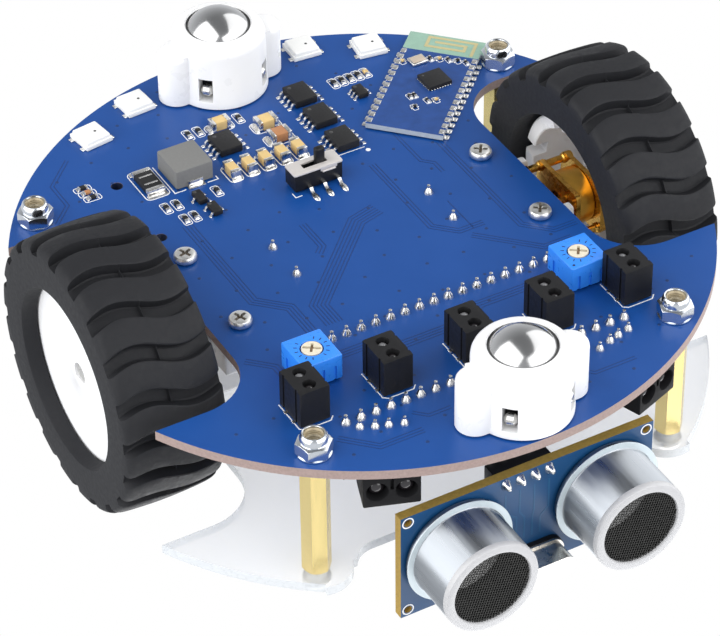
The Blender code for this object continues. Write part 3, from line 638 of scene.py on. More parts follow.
def make_posts():
    shaft = hex_block(STANDOFF_AF, 0.15, STANDOFF_LEN - 0.15, 0.35, 0.35)
    nut = hex_block(NUT_AF, 0.25, 2.35, 0.25, 0.3)
    screw = cross_head(2.25, 1.4, 1.15, 6.4)
    for name, x, y in posts():
        above = ABOVE @ shift(x, y)
        below = UNDER @ shift(-x, y)
        nut_turn = 14 if x < 0 else 44
        piece(f"post_{name}", shaft.copy(), BRASS, "chassis", above @ spin(POST_TURN),
              (f"standoff_{name}",))
        piece(f"nut_{name}", nut.copy(), NUT_STEEL, "chassis", below @ spin(nut_turn),
              (f"lock_nut_{name}",))
        for part, profile, metal in NUT_PARTS:
            piece(f"nut_{part}_{name}", solid(add_lathe, profile, 48), metal, "chassis", below)
        stud = solid(add_lathe, thread_profile(1.2, -1.7, 2.0), 24)
        piece(f"post_stud_{name}", stud, BRASS, "chassis", below)
        piece(f"top_screw_{name}", screw.copy(), STEEL, "chassis", above @ shift(0, 0, STANDOFF_LEN + 1.65),
              (f"plate_screw_{name}",))
    small = cross_head(1.85, 1.15, 0.95, 5.4)
    # the dark crosses in the small screws' recesses are painted shade at the bottom of each recess
    cross_shade = bmesh.new()
    for name, x, y in bracket_screws():
        local = shift(-x, y, 0.3) @ spin(20 if x > 0 else 55)
        piece(f"frame_screw_{name}", small.copy(), SCREW_STEEL, "chassis", UNDER @ local,
              (f"bracket_screw_{name}",))
        add_box(cross_shade, (RECESS_LONG, RECESS_WIDE, 0.08), (0, 0, 0.55), at=local)
        add_box(cross_shade, (RECESS_WIDE, RECESS_LONG, 0.08), (0, 0, 0.56), at=local)
    piece("screw_head_painted_shade", cross_shade, RECESS_SHADE, "chassis", UNDER)


# ---------------------------------------------------------------- wheels
TREAD_LUGS, GROOVE_SHARE, GROOVE_DEPTH, GROOVE_SWAY = 20, 0.38, 2.0, 0.05
WHEEL_MIDDLE, TYRE_HALF = (WHEEL_IN + WHEEL_OUT) / 2, (WHEEL_OUT - WHEEL_IN) / 2
TREAD_INSETS = (0.02, 0.2, 0.5, 1.0, 1.8, 2.7, 3.7, 4.8, 5.9, 7.0, 7.9, 8.26, 8.36)
MIDDLE_RIB, RIB_DEPTH_SHARE = 8.3, 0.6      # a low rib crosses the grooves at the tyre's middle
TYRE_MOUTH, TYRE_NECK = 14.6, 14.12         # the tyre's opening, and the narrower lip over the hub's edge
ALONG_AXLE = spin(90, "Y")                  # turns a shape about Z into one about the axle
# Lays an outline across the axle: its x along the car, its y upwards, its height along the axle.
ACROSS_AXLE = Matrix(((0, 0, 1, 0), (1, 0, 0, 0), (0, 1, 0, 0), (0, 0, 0, 1)))


def tyre_rows():
    """Across the tread from the outer face: distance along the axle, radius and groove depth."""
    rows = []
    for inset in TREAD_INSETS:
        radius = WHEEL_R - 0.02 - 0.9 * math.exp(-inset / 0.4) - 0.45 * (1 - inset / TYRE_HALF) ** 2
        depth = GROOVE_DEPTH * (1 - math.exp(-(inset + 0.25) / 0.5))
        if inset > MIDDLE_RIB:
            depth *= RIB_DEPTH_SHARE
        rows.append((TYRE_HALF - inset, radius, depth))
    return rows + [(-x, r, d) for x, r, d in reversed(rows)]


def tyre_mesh():
    """A tyre about X, centred on its middle, with S-shaped grooves across the tread."""
    half, share, mouth = TYRE_HALF, GROOVE_SHARE, TYRE_MOUTH
    # where each column of points lies within one lug's pitch, and its share of the groove's depth
    columns = ((0.0, 0.06), (0.03, 0.9), (0.07, 1.0), (share * 0.5, 1.0), (share - 0.07, 1.0),
               (share - 0.03, 0.9), (share, 0.06), (share + 0.03, 0.0), (share + 0.2, 0.0),
               (share + 0.4, 0.0), (0.97, 0.0))
    pitch = 2 * math.pi / TREAD_LUGS
    groove = RIM_R + GAP - 0.02
    outer, inner = RIM_OUT + GAP - WHEEL_MIDDLE, RIM_IN - GAP - WHEEL_MIDDLE
    side_out = [(outer, groove), (outer, TYRE_NECK), (half - 0.3, mouth - 0.05), (half - 0.05, mouth + 0.1),
                (half, mouth + 0.35), (half, 17.2), (half, 19.3)]
    side_in = [(-half, 19.3), (-half, 17.2), (-half, mouth + 0.35), (-half + 0.05, mouth + 0.1),
               (-half + 0.3, mouth - 0.05), (inner, TYRE_NECK), (inner, groove)]
    rows = [(x, r, 0.0) for x, r in side_out] + tyre_rows() + [(x, r, 0.0) for x, r in side_in]
    bm = bmesh.new()
    loops = []
    for lug in range(TREAD_LUGS):
        for fraction, share_of_depth in columns:
            loop = []
            for x, radius, depth in rows:
                sway = GROOVE_SWAY * math.sin(math.pi * x / half) if depth > 0 else 0.0
                angle = (lug + fraction) * pitch + sway
                r = radius - depth * share_of_depth
                loop.append(bm.verts.new((x, r * math.cos(angle), r * math.sin(angle))))
            loops.append(loop)
    join_loops(bm, loops, closed=True)
    return closed_mesh(bm)


# The ring behind the hub's disc: its walls, its free end along the axle, and its six notches.
RING_INNER, RING_OUTER, RING_END = 11.3, 13.7, 38.0
NOTCH_WIDTH, NOTCH_DEPTH, NOTCH_ANGLE = 2.4, 2.6, 9.6
WEB_T, BOSS_R, BOSS_END = 2.0, 3.6, 42.0


def hub_mesh():
    """A disc whose thick edge sits in the tyre, a boss with a D bore, and behind it ribs and the ring."""
    web0, web1 = RIM_OUT - WEB_T, RIM_OUT
    profile = [(0.0, web1), (3.2, web1), (3.4, web1 - 0.08), (12.9, web1 - 0.08), (13.2, web1),
               (RIM_R - 0.15, web1), (RIM_R, web1 - 0.15), (RIM_R, RIM_IN + 0.15), (RIM_R - 0.15, RIM_IN),
               (RING_OUTER, RIM_IN), (RING_OUTER, RING_END + 0.3), (RING_OUTER - 0.3, RING_END),
               (RING_INNER + 0.2, RING_END), (RING_INNER, RING_END + 0.2), (RING_INNER, web0), (9.4, web0),
               (9.4, web0 - 1.2), (8.4, web0 - 1.2), (8.4, web0), (BOSS_R, web0), (BOSS_R, BOSS_END + 0.3),
               (BOSS_R - 0.3, BOSS_END), (0.0, BOSS_END)]
    hub = solid(add_lathe, profile, 96, ALONG_AXLE)
    for angle in (0, 60, 120):
        rib = solid(add_box, (1.6, 2 * RING_INNER + 0.6, 1.2), (web0 - 0.7, 0, 0), bevel=0.2,
                    at=spin(angle, "X"))
        hub = combined(hub, rib, "UNION")
        hub = cut(hub, add_box, (2 * NOTCH_DEPTH, 32.0, NOTCH_WIDTH), (RING_END, 0, 0),
                  at=spin(angle + NOTCH_ANGLE, "X"))
    bore = solid(add_lathe, [(0.0, 40.0), (1.8, 40.0), (1.8, 51.0), (0.0, 51.0)], 32, ALONG_AXLE)
    bore = cut(bore, add_box, (14.0, 5, 1.2), (45.4, 0, 1.9))
    return combined(hub, bore, "DIFFERENCE")


def shaft_mesh():
    """The D-shaped output shaft."""
    profile = [(0.0, 36.5), (1.3, 36.5), (1.48, 36.7), (1.48, 49.1), (1.25, 49.35), (0.0, 49.35)]
    return cut(solid(add_lathe, profile, 40, ALONG_AXLE), add_box, (15.0, 4, 1.0), (49.4, 0, 1.5))


def drive_place(side):
    """A drive's frame: the axle is X, outwards, from the middle of the car."""
    axle = frame_at((board_middle.x, board_middle.y + AXLE_Y * MM, WHEEL_R * MM))
    return axle if side == "left" else axle @ spin(180)


GEAR_MODULE, LAYSHAFT_Y = 0.3, 3.15
# One tooth: the angle as a share of the tooth's pitch, and the height over the pitch circle in modules.
TOOTH = ((-0.27, -1.2), (-0.22, -0.5), (-0.17, 0.2), (-0.1, 0.72), (0.1, 0.72), (0.17, 0.2), (0.22, -0.5),
         (0.27, -1.2))


def gear_mesh(teeth, x0, x1, tooth_at_zero, centre_y=0.0):
    """A spur gear about X with rounded tooth flanks."""
    pitch_r = GEAR_MODULE * teeth / 2
    step = 2 * math.pi / teeth
    first = 0.0 if tooth_at_zero else step / 2
    points = []
    for tooth in range(teeth):
        for offset, height in TOOTH:
            angle = first + (tooth + offset) * step
            r = pitch_r + height * GEAR_MODULE
            points.append((r * math.cos(angle), r * math.sin(angle)))
    return solid(add_slab, points, x0, x1, at=shift(0, centre_y) @ ACROSS_AXLE)


def make_drives():
    tyre, hub, shaft = tyre_mesh(), hub_mesh(), shaft_mesh()
    for side, _ in SIDES:
        place = drive_place(side)
        wheel, lay, motor = f"wheel_{side}", f"layshaft_{side}", f"pinion_{side}"
        piece(f"tread_tyre_{side}", tyre.copy(), RUBBER, wheel, place @ shift(WHEEL_MIDDLE),
              (f"tyre_{side}",), sharp=32)
        piece(f"spoked_hub_{side}", hub.copy(), HUB_WHITE, wheel, place,
              (f"wheel_hub_{side}",))
        piece(f"drive_shaft_{side}", shaft.copy(), STEEL, wheel, place, (f"output_shaft_{side}",))
        piece(f"last_gear_{side}", gear_mesh(15, 36.9, 38.5, False), GEAR_BRASS, wheel, place)
        piece(f"layshaft_gear_{side}", gear_mesh(15, 33.2, 34.6, True, LAYSHAFT_Y), GEAR_BRASS, lay, place,
              (f"reduction_gear_{side}",))
        piece(f"layshaft_pinion_{side}", gear_mesh(6, 36.7, 38.7, True, LAYSHAFT_Y), GEAR_BRASS, lay, place)
        pivot = bmesh.new()
        add_rod(pivot, 0.42, 32.1, 40.6, round_end=0.1, at=shift(0, LAYSHAFT_Y) @ ALONG_AXLE)
        add_rod(pivot, 0.7, 34.6, 36.7, at=shift(0, LAYSHAFT_Y) @ ALONG_AXLE)
        piece(f"layshaft_pivot_{side}", pivot, STEEL, lay, place)
        piece(f"motor_gear_{side}", gear_mesh(6, 33.1, 34.7, True), GEAR_BRASS, motor, place,
              (f"motor_pinion_{side}",))
        tip = solid(add_rod, 0.45, 31.9, 35.0, round_end=0.1, at=ALONG_AXLE)
        piece(f"motor_shaft_tip_{side}", tip, STEEL, motor, place)
        make_gearbox(side, place)
        make_motor(side, place)


# Gearbox plates: where each begins along the axle and the radius of its middle hole. Pillars: across it.
GEARBOX_PLATES, GEARBOX_PLATE_T = ((31.9, 0.9), (35.4, 1.9), (40.0, 1.8)), 0.8
PILLARS = ((5.1, 3.7), (-5.1, 3.7), (-5.1, -3.7))
SLEEVE = [(4.46, 36.3), (4.66, 36.3), (4.66, 39.6), (4.5, 39.9), (4.46, 39.9)]
BUSH = [(1.58, 39.9), (1.75, 39.9), (1.75, 40.85), (2.3, 40.9), (2.3, 41.3), (1.58, 41.3)]


def make_gearbox(side, place):
    """Three brass plates on pillars with screw heads, a sleeve between them, and the shaft's bush."""
    plates, pillars = bmesh.new(), bmesh.new()
    outline = rounded_rectangle(12.0, 9.4, 0.9, steps=4)
    pivot_hole = circle((LAYSHAFT_Y, 0), 0.72, 20)
    for x, middle_hole in GEARBOX_PLATES:
        layer = filled([outline, pivot_hole, circle((0, 0), middle_hole, 24)], x, x + GEARBOX_PLATE_T)
        mesh = closed_mesh(layer)
        mesh.transform(ACROSS_AXLE)
        plates.from_mesh(mesh)
    for y, z in PILLARS:
        at = shift(0, y, z) @ ALONG_AXLE
        for x0, x1 in ((32.72, 35.38), (36.22, 39.98)):
            profile = [(0.0, x0), (0.85, x0), (0.85, x0 + 0.3), (0.65, x0 + 0.5), (0.65, x1 - 0.5),
                       (0.85, x1 - 0.3), (0.85, x1), (0.0, x1)]
            add_lathe(pillars, profile, 20, at)
        add_rod(pillars, 0.95, 40.82, 41.4, round_end=0.3, at=at)
    sleeve, bush = solid(add_lathe, SLEEVE, 48, ALONG_AXLE), solid(add_lathe, BUSH, 32, ALONG_AXLE)
    piece(f"gearbox_plates_{side}", plates, GEAR_BRASS, "chassis", place, (f"gearbox_frame_{side}",))
    piece(f"gearbox_pillars_{side}", pillars, GEAR_BRASS, "chassis", place)
    piece(f"gearbox_sleeve_{side}", sleeve, SLEEVE_BRASS, "chassis", place)
    piece(f"shaft_bush_{side}", bush, GEAR_BRASS, "chassis", place)


CAN_R, CAN_HALF_HEIGHT, CAN_START, CAN_END = 6.0, 4.65, 17.4, 31.55
TERMINAL = ((16.35, 0.2), (16.35, -2.6), (15.4, -3.4), (14.3, -4.0), (14.0, -5.0))


def make_motor(side, place):
    """The flat-sided can, its plastic end with two terminals, and the rolled bearing boss."""
    limit = math.degrees(math.asin(CAN_HALF_HEIGHT / CAN_R))
    outline = arc((0, 0), CAN_R, -limit, limit, 16) + arc((0, 0), CAN_R, 180 - limit, 180 + limit, 16)
    can = solid(add_slab, outline, CAN_START, CAN_END, at=ACROSS_AXLE, bevel=0.4)
    piece(f"motor_can_{side}", can, MOTOR_STEEL, "chassis", place, (f"motor_{side}",))
    inward = ACROSS_AXLE @ Matrix.Diagonal((1, 1, -1, 1))
    smaller = [(0.94 * y, 0.94 * z) for y, z in outline]
    cap = solid(add_slab, smaller, 0.02 - CAN_START, -16.8, at=inward, bevel=0.2)
    piece(f"motor_end_{side}", cap, MOTOR_CAP, "chassis", place)
    metal = bmesh.new()
    add_rod(metal, 2.3, -16.8, -15.85, facets=28, round_end=0.25, at=spin(-90, "Y"))
    for y in (3.8, -3.8):
        add_bent_strip(metal, TERMINAL, 0.25, 0.9, shift(0, y, 0))
    piece(f"motor_terminals_{side}", metal, STEEL, "chassis", place)


# ---------------------------------------------------------------- ball casters
BALL_HEIGHT, CUP_INSIDE_R, CUP_MOUTH, CUP_FILLET = 8.4, 6.45, 5.3, 2.2
WINDOW_ANGLES, WINDOW_HEIGHT = (45, 135, 225, 315), 3.7
LOBE_REACH, LOBE_R = 8.0, 3.0
ROLLER = [(0.0, -0.95), (0.5, -0.95), (0.95, -0.5), (0.95, 0.5), (0.5, 0.95), (0.0, 0.95)]


def caster_mesh():
    """A round cup over the ball with a screw lobe on each side; its base is on Z = 0."""
    shoulder = [(CASTER_R - 0.2 - CUP_FILLET + CUP_FILLET * math.cos(math.radians(a)),
                 CASTER_H - CUP_FILLET + CUP_FILLET * math.sin(math.radians(a))) for a in range(0, 91, 15)]
    inside = [(CUP_INSIDE_R * math.sin(math.radians(a)),
               BALL_HEIGHT + CUP_INSIDE_R * math.cos(math.radians(a))) for a in range(58, 171, 14)]
    profile = [(0.0, GAP), (CASTER_R, GAP), (CASTER_R, 1.1), (CASTER_R - 0.15, 1.5), *shoulder,
               (CUP_MOUTH + 0.25, CASTER_H), (CUP_MOUTH, CASTER_H - 0.2), *inside,
               (0.0, BALL_HEIGHT - CUP_INSIDE_R)]
    cup = solid(add_lathe, profile, 80)
    core = solid(add_lathe, [(0.0, 0.5), (7.2, 0.5), (7.2, 11.0), (5.6, 11.6), (5.6, 12.5), (0.0, 12.5)], 48)
    stadium = [(0, -LOBE_R)] + arc((LOBE_REACH, 0), LOBE_R, -90, 90, 16) + [(0, LOBE_R)]
    for outline in (stadium, [(-x, y) for x, y in stadium[::-1]]):
        lobe = solid(add_slab, outline, GAP, 9.5, bevel=1.1, segments=4)
        cup = combined(cup, combined(lobe, core.copy(), "DIFFERENCE"), "UNION")
    for angle in WINDOW_ANGLES:
        cup = cut(cup, add_box, (4.6, 2.4, 4.4), (7.3, 0, WINDOW_HEIGHT), at=spin(angle))
    return cup


def make_casters():
    cup = caster_mesh()
    ball = bmesh.new()
    bmesh.ops.create_uvsphere(ball, u_segments=72, v_segments=40, radius=BALL_R)
    ball = closed_mesh(ball)
    for end, y in (("front", -CASTER_Y), ("rear", CASTER_Y)):
        place = UNDER @ shift(0, y)
        piece(f"caster_cup_{end}", cup.copy(), WHITE, "chassis", place,
              (f"caster_housing_{end}",), sharp=40)
        piece(f"rolling_ball_{end}", ball.copy(), CHROME, f"ball_{end}", place @ shift(0, 0, BALL_HEIGHT),
              (f"caster_ball_{end}",))
        # Behind each roller a black plate fills the window: painted shade in the cup's windows.
        rollers, window_backing_shade = bmesh.new(), bmesh.new()
        for angle in WINDOW_ANGLES:
            add_lathe(rollers, ROLLER, 24, spin(angle) @ shift(6.75, 0, 3.35) @ spin(90, "X"))
            add_box(window_backing_shade, (0.3, 2.3, 4.2), (5.55, 0, WINDOW_HEIGHT), at=spin(angle))
        piece(f"caster_rollers_{end}", rollers, STEEL, "chassis", place)
        piece(f"roller_window_shade_{end}", window_backing_shade, BLACK, "chassis", place)


# ---------------------------------------------------------------- parts under the board
groups = defaultdict(bmesh.new)       # shapes under the board, collected by finish
INK_T = 0.03                          # thickness of printed marks


def ring_mark(x, y, width, length, line, radius, z=0.0, thick=INK_T, inner_radius=None, steps=3):
    outer = rounded_rectangle(width, length, radius, (x, y), steps)
    inner_radius = inner_radius or radius - line
    inner = rounded_rectangle(width - 2 * line, length - 2 * line, inner_radius, (x, y), steps)
    add_ring(groups["marks"], outer, inner, z, z + thick)


def outline_mark(x, y, width, length, line=0.16, radius=0.5):
    """A rounded white outline printed round a part."""
    ring_mark(x, y, width, length, line, radius)


def line_mark(path, width=0.18):
    add_strip(groups["marks"], path, width, 0.0, INK_T)


def two_ended(group, x, y, width, length, height, along_y=True, at=HERE, metal=0.22):
    """A ceramic part with a tinned cap over each end; metal is a cap's share of the length."""
    here = at @ (shift(x, y, 0.05) @ spin(0 if along_y else 90))
    end = length * metal
    add_box(groups[group], (width * 0.96, length - 2 * end + 0.04, height * 0.97), (0, 0, height * 0.485),
            bevel=min(0.1, width * 0.1), at=here)
    for side in (1, -1):
        add_box(groups["terminals"], (width, end, height), (0, side * (length - end) / 2, height / 2),
                bevel=min(0.14, width * 0.14), at=here)
        add_box(groups["solder"], (width * 1.1, end * 0.8, 0.12), (0, side * (length / 2 + end * 0.25), 0.01),
                bevel=0.05, segments=1, at=here)


def tiny_part(group, x, y, along_y=True):
    """A small two-ended part in its printed outline."""
    two_ended(group, x, y, 0.82, 1.6, 0.5, along_y, metal=0.24)
    outline_mark(x, y, *((1.45, 3.0) if along_y else (3.0, 1.45)), line=0.14, radius=0.42)


def gull_chip(x, y, width, length, height, pins, pitch, reach, lead=0.42):
    """A moulded chip with bent legs along its two long sides; pins is the count on each."""
    here = shift(x, y)
    lift = 0.15
    add_box(groups["chips"], (width, length, height - lift), (0, 0, lift + (height - lift) / 2), bevel=0.14,
            at=here)
    dimple = [(0.0, height), (0.32, height), (0.3, height + 0.01), (0.0, height + 0.012)]
    add_lathe(groups["dimples"], dimple, 16, here @ shift(-width * 0.28, length * 0.32))
    edge = width / 2
    path = ((edge - 0.1, height * 0.55), (edge + reach * 0.3, height * 0.55),
            (edge + reach * 0.5, height * 0.4), (edge + reach * 0.62, 0.16),
            (edge + reach * 0.72, 0.1), (edge + reach, 0.1))
    for turn, count in zip((0, 180), pins):
        flip = here @ spin(turn) if turn else here
        for i in range(count):
            along = (i - (count - 1) / 2) * (pitch if count > 1 else 0)
            add_bent_strip(groups["legs"], path, 0.16, lead, flip @ shift(0, along))
            add_box(groups["solder"], (reach * 0.5, lead * 1.4, 0.1), (edge + reach * 0.95, along, 0.02),
                    bevel=0.04, segments=1, at=flip)


# A fat drop of solder with the end of a pin standing out of it.
DROP = [(0.0, 0.0), (0.9, 0.0), (0.86, 0.25), (0.62, 0.75), (0.38, 1.1), (0.3, 1.25), (0.34, 1.5),
        (0.3, 1.75), (0.0, 1.82)]


def solder_joint(x, y, scale=0.9):
    add_lathe(groups["joints"], [(scale * r, scale * h) for r, h in DROP], 18, shift(x, y))


LIGHTS = ((-25.2, 44.0, 8), (-15.1, 48.5, 4), (16.0, 48.4, -4), (25.9, 43.4, -8))      # x, y and turn


def make_leds():
    """Four white side-pinned light packages round the rear rim."""
    for x, y, turn in LIGHTS:
        here = shift(x, y) @ spin(turn)
        add_box(groups["led_bodies"], (5.0, 5.0, 0.75), (0, 0, 0.45), bevel=0.08, at=here)
        add_slab(groups["led_bodies"], rounded_rectangle(4.5, 4.5, 0.3), 0.8, 1.5, at=here, bevel=0.25)
        add_lathe(groups["led_dots"], [(0.0, 1.48), (0.24, 1.48), (0.22, 1.53), (0.0, 1.535)], 14,
                  here @ shift(0.6, -0.2))
        for sx in (1, -1):
            for sy in (1, -1):
                add_box(groups["legs"], (0.75, 0.9, 0.2), (sx * 2.72, sy * 1.6, 0.12), bevel=0.05, segments=1,
                        at=here)


# Chips with bent legs: place, width, length, height, pins on each side, pitch, reach of a leg.
DRIVER_CHIP = (3.9, 4.9, 1.5, (4, 4), 1.27, 1.15)
DRIVER_CHIPS = ((9.2, 36.8), (9.2, 30.0), (9.2, 22.8))
# Lying ceramic capacitors, each in its outline: finish, place and width.
LYING_CAPACITORS = (("tan_bodies", -5.9, 36.4, 2.0, 3.4), ("tan_bodies", 0.8, 33.0, 2.4, 3.6),
                    ("brown_bodies", 1.0, 28.8, 2.4, 3.6))
# Small two-ended parts: across the car by the left nut, and along it.
BY_NUT = (("resistors", -32.4, 32.7), ("brown_bodies", -32.2, 31.3), ("resistors", -32.0, 29.8))
ALONG_CAR = ((-23.2, 21.5), (-21.3, 21.5), (-14.2, 21.5), (-21.9, 17.5), (-20.2, 17.5), (-11.3, 37.0),
             (-9.4, 37.0), (-2.1, 37.0))


def make_power_parts():
    """The converter's inductor, diode, chips and capacitors, and the motor drivers."""
    add_slab(groups["inductor"], rounded_rectangle(6.6, 6.8, 0.35, (-16.3, 28.3)), 0.15, 3.4, bevel=0.18,
             segments=2)
    for y in (24.75, 31.85):
        add_box(groups["terminals"], (2.6, 0.3, 1.0), (-16.3, y, 0.6), bevel=0.08)
        add_box(groups["solder"], (3.0, 1.2, 0.16), (-16.3, y + (0.2 if y > 28 else -0.2), 0.08), bevel=0.06)
    line_mark([(-20.2, 32.2), (-20.2, 24.3), (-18.2, 24.3)])
    line_mark([(-14.4, 24.3), (-12.5, 24.3), (-12.5, 25.2)])
    outline_mark(-22.75, 28.6, 4.3, 8.1, radius=0.9)
    two_ended("resistors", -22.75, 28.6, 3.2, 6.0, 1.0, metal=0.15)
    for y in (25.2, 32.0):
        add_box(groups["solder"], (3.4, 0.9, 0.14), (-22.75, y, 0.08), bevel=0.06)
    for y in (27.6, 29.6):
        add_box(groups["terminals"], (2.3, 0.3, 0.03), (-22.75, y, 1.03), bevel=0.01, segments=1)
    for x, y in DRIVER_CHIPS:
        gull_chip(x, y, *DRIVER_CHIP)
    line_mark([(6.6, 20.0), (11.8, 20.0)], 0.14)
    gull_chip(-7.6, 31.2, *DRIVER_CHIP)
    for k in range(5):
        x = -10.0 + 3.0 * k
        two_ended("tan_bodies", x, 24.3, 1.7, 3.5, 1.7)
        outline_mark(x, 24.3, 2.5, 4.7, radius=0.9)
    for group, x, y, width, length in LYING_CAPACITORS:
        two_ended(group, x, y, width, length, 1.7, along_y=False)
        outline_mark(x, y, length + 1.6, width + 0.8, radius=0.9)
    gull_chip(-17.6, 20.9, 1.5, 2.9, 1.05, (2, 1), 1.9, 0.6)
    gull_chip(-16.9, 17.1, 1.5, 2.9, 1.05, (1, 2), 1.9, 0.6)
    gull_chip(18.3, 32.9, 1.7, 2.9, 1.1, (2, 3), 0.95, 0.75, lead=0.36)
    for group, x, y in BY_NUT:
        tiny_part(group, x, y, along_y=False)
    for x, y in ALONG_CAR:
        tiny_part("resistors", x, y)
    for k in range(5):
        tiny_part("tan_bodies" if k == 4 else "resistors", 16.0 + 1.5 * k, 37.6)
    add_lathe(groups["marks"], [(0.0, 0.0), (0.4, 0.0), (0.4, INK_T), (0.0, INK_T)], 16, shift(11.9, 19.0))


HEADER_PINS, HEADER_START = 20, -24.13
MOTOR_JOINTS = ((-13.5, 4.3), (-13.5, -3.3), (14.5, 4.3), (14.5, -3.3))
SENSOR_JOINTS = ((-22.8, -39.3), (-20.8, -40.3), (-18.9, -41.0), (-16.7, -41.8),
                 (23.2, -40.1), (21.1, -40.6), (19.3, -41.1), (17.0, -41.9))


def make_solder_joints():
    for row in (-1, 1):
        for k in range(HEADER_PINS):
            solder_joint(HEADER_START + PIN_PITCH * k, HEADER_Y + row * HEADER_ROW)
    for x, y in MOTOR_JOINTS:
        solder_joint(x, y, 0.85)
    for x, y in SENSOR_JOINTS:
        solder_joint(x, y, 0.78)


def dome(radius, base, rise, low):
    """A lens's profile: a dome over a short cylinder."""
    curve = [(radius * math.cos(math.radians(a)), base + rise * math.sin(math.radians(a)))
             for a in range(75, -1, -15)]
    return [(0.0, base + rise), *curve, (radius, low), (0.0, low)]


SENSOR_ROW_Y, SENSOR_PITCH, WINDOW_Y = -32.2, 14.0, 1.5


def line_sensor_mesh():
    outline = []
    for sx, sy in ((1, 1), (-1, 1), (-1, -1), (1, -1)):
        corner = [(sx * 2.45, sy * 2.75), (sx * 2.45, sy * 3.2), (sx * 1.9, sy * 3.2)]
        outline += corner if sx * sy > 0 else corner[::-1]
    mesh = solid(add_slab, outline, 0.3, 6.5, bevel=0.12, segments=2)
    for y in (WINDOW_Y, -WINDOW_Y):
        bore = [(0.0, 5.3), (0.85, 5.3), (0.95, 6.25), (1.08, 6.6), (0.0, 6.6)]
        mesh = cut(mesh, add_lathe, bore, 32, shift(0, y))
    for sx in (1, -1):
        for y in (-1.9, 1.9):
            mesh = cut(mesh, add_box, (0.3, 0.5, 7.0), (sx * 2.45, y, 3.0))
    return mesh


def make_line_sensors():
    """Five reflective sensors; each has two round windows over its emitter and receiver."""
    mesh = line_sensor_mesh()
    lens = dome(0.78, 5.45, 0.5, 5.3)
    for index, name in enumerate(("far_right", "right", "middle", "left", "far_left")):
        x, y = -SENSOR_PITCH * (index - 2), SENSOR_ROW_Y
        piece(f"ground_sensor_{name}", mesh.copy(), BLACK, "chassis", UNDER @ shift(x, y),
              (f"line_sensor_{name}",))
        add_lathe(groups["clear_lenses"], lens, 24, shift(x, y + WINDOW_Y))
        add_lathe(groups["dark_lenses"], lens, 24, shift(x, y - WINDOW_Y))
        for sx in (1, -1):
            for leg in (-1.2, 1.2):
                add_box(groups["legs"], (0.5, 0.6, 0.16), (x + sx * 2.6, y + leg, 0.1), bevel=0.04,
                        segments=1)
        line_mark([(x - 2.6, -28.9), (x - 2.6, -35.2), (x - 1.9, -35.75), (x + 2.4, -35.75),
                   (x + 3.1, -35.0)])


TRIMMERS = (("left", -22.8, -25.0), ("right", 23.6, -25.2))
DIAL_TICKS, DIAL_STEP, DIAL_TURN = 13, 24, -35


def trimmer_meshes():
    """The case with its round well and side grooves, and the slotted rotor."""
    case = solid(add_box, (6.6, 7.0, 4.5), (0, 0, 2.55), bevel=0.22, segments=3)
    case = cut(case, add_lathe, [(0.0, 3.7), (1.8, 3.7), (1.8, 4.7), (2.05, 5.0), (0.0, 5.0)], 48)
    for along in (-2.0, 0.0, 2.0):
        case = cut(case, add_box, (0.55, 0.6, 3.0), (along, -3.5, 1.5), bevel=0.1, segments=1)
    for sx in (1, -1):
        case = cut(case, add_box, (0.5, 1.4, 3.0), (sx * 3.3, 1.2, 1.5))
    profile = [(0.0, 3.95), (1.55, 3.95), (1.6, 4.05), (1.6, 4.75), (1.5, 4.88), (0.0, 4.88)]
    rotor = solid(add_lathe, profile, 40)
    for size in ((2.7, 0.5, 1.0), (0.42, 2.0, 1.0)):
        rotor = cut(rotor, add_box, size, (0, 0, 4.95))
    return case, rotor


def make_trimmers():
    """Square trimmers with ticks round a cream rotor."""
    case, rotor = trimmer_meshes()
    middle_tick = DIAL_TICKS // 2
    for name, x, y in TRIMMERS:
        place = UNDER @ shift(x, y)
        piece(f"trimmer_case_{name}", case.copy(), TRIM_BLUE, "chassis", place,
              (f"trimmer_{name}",))
        ink, floor_shade = bmesh.new(), bmesh.new()
        for k in range(DIAL_TICKS):
            if k != middle_tick:
                turned = spin(180 + (k - middle_tick) * DIAL_STEP)
                add_box(ink, (0.16, 0.55, 0.012), (0, 2.45, 4.805), at=turned)
        add_lathe(ink, [(0.0, 4.8), (0.22, 4.8), (0.22, 4.812), (0.0, 4.812)], 14, shift(-2.5, -2.7))
        piece(f"trimmer_scale_{name}", ink, INK_AND_HOLE_SHADE, "chassis", place)
        rotor_place = place @ spin(DIAL_TURN)
        piece(f"trimmer_dial_{name}", rotor.copy(), ROTOR_CREAM, f"trim_{name}", rotor_place,
              (f"trimmer_rotor_{name}",))
        # dark sheets on the floor of the rotor's slot: painted shade in the slot
        add_box(floor_shade, (2.6, 0.46, 0.04), (0, 0, 4.455))
        add_box(floor_shade, (0.38, 1.9, 0.04), (0, 0, 4.46))
        piece(f"trimmer_shaded_slot_{name}", floor_shade, ROTOR_SLOT_SHADE, f"trim_{name}", rotor_place)


KNOB_TOP, KNOB_BASE = 6.4, 2.7      # from the board to the switch knob's rounded end and to its foot
SWITCH_SLOT, SLOT_MIDDLE_Z = (4.3, 1.25, 2.0), 3.6
SWITCH_LEG = ((-1.6, 0.85), (-2.2, 0.78), (-2.6, 0.35), (-3.1, 0.16), (-4.4, 0.12))
SWITCH_FOOT = [(0.0, 1.0), (0.5, 0.87), (0.87, 0.5), (1.0, 0.0), (0.0, 0.0)]


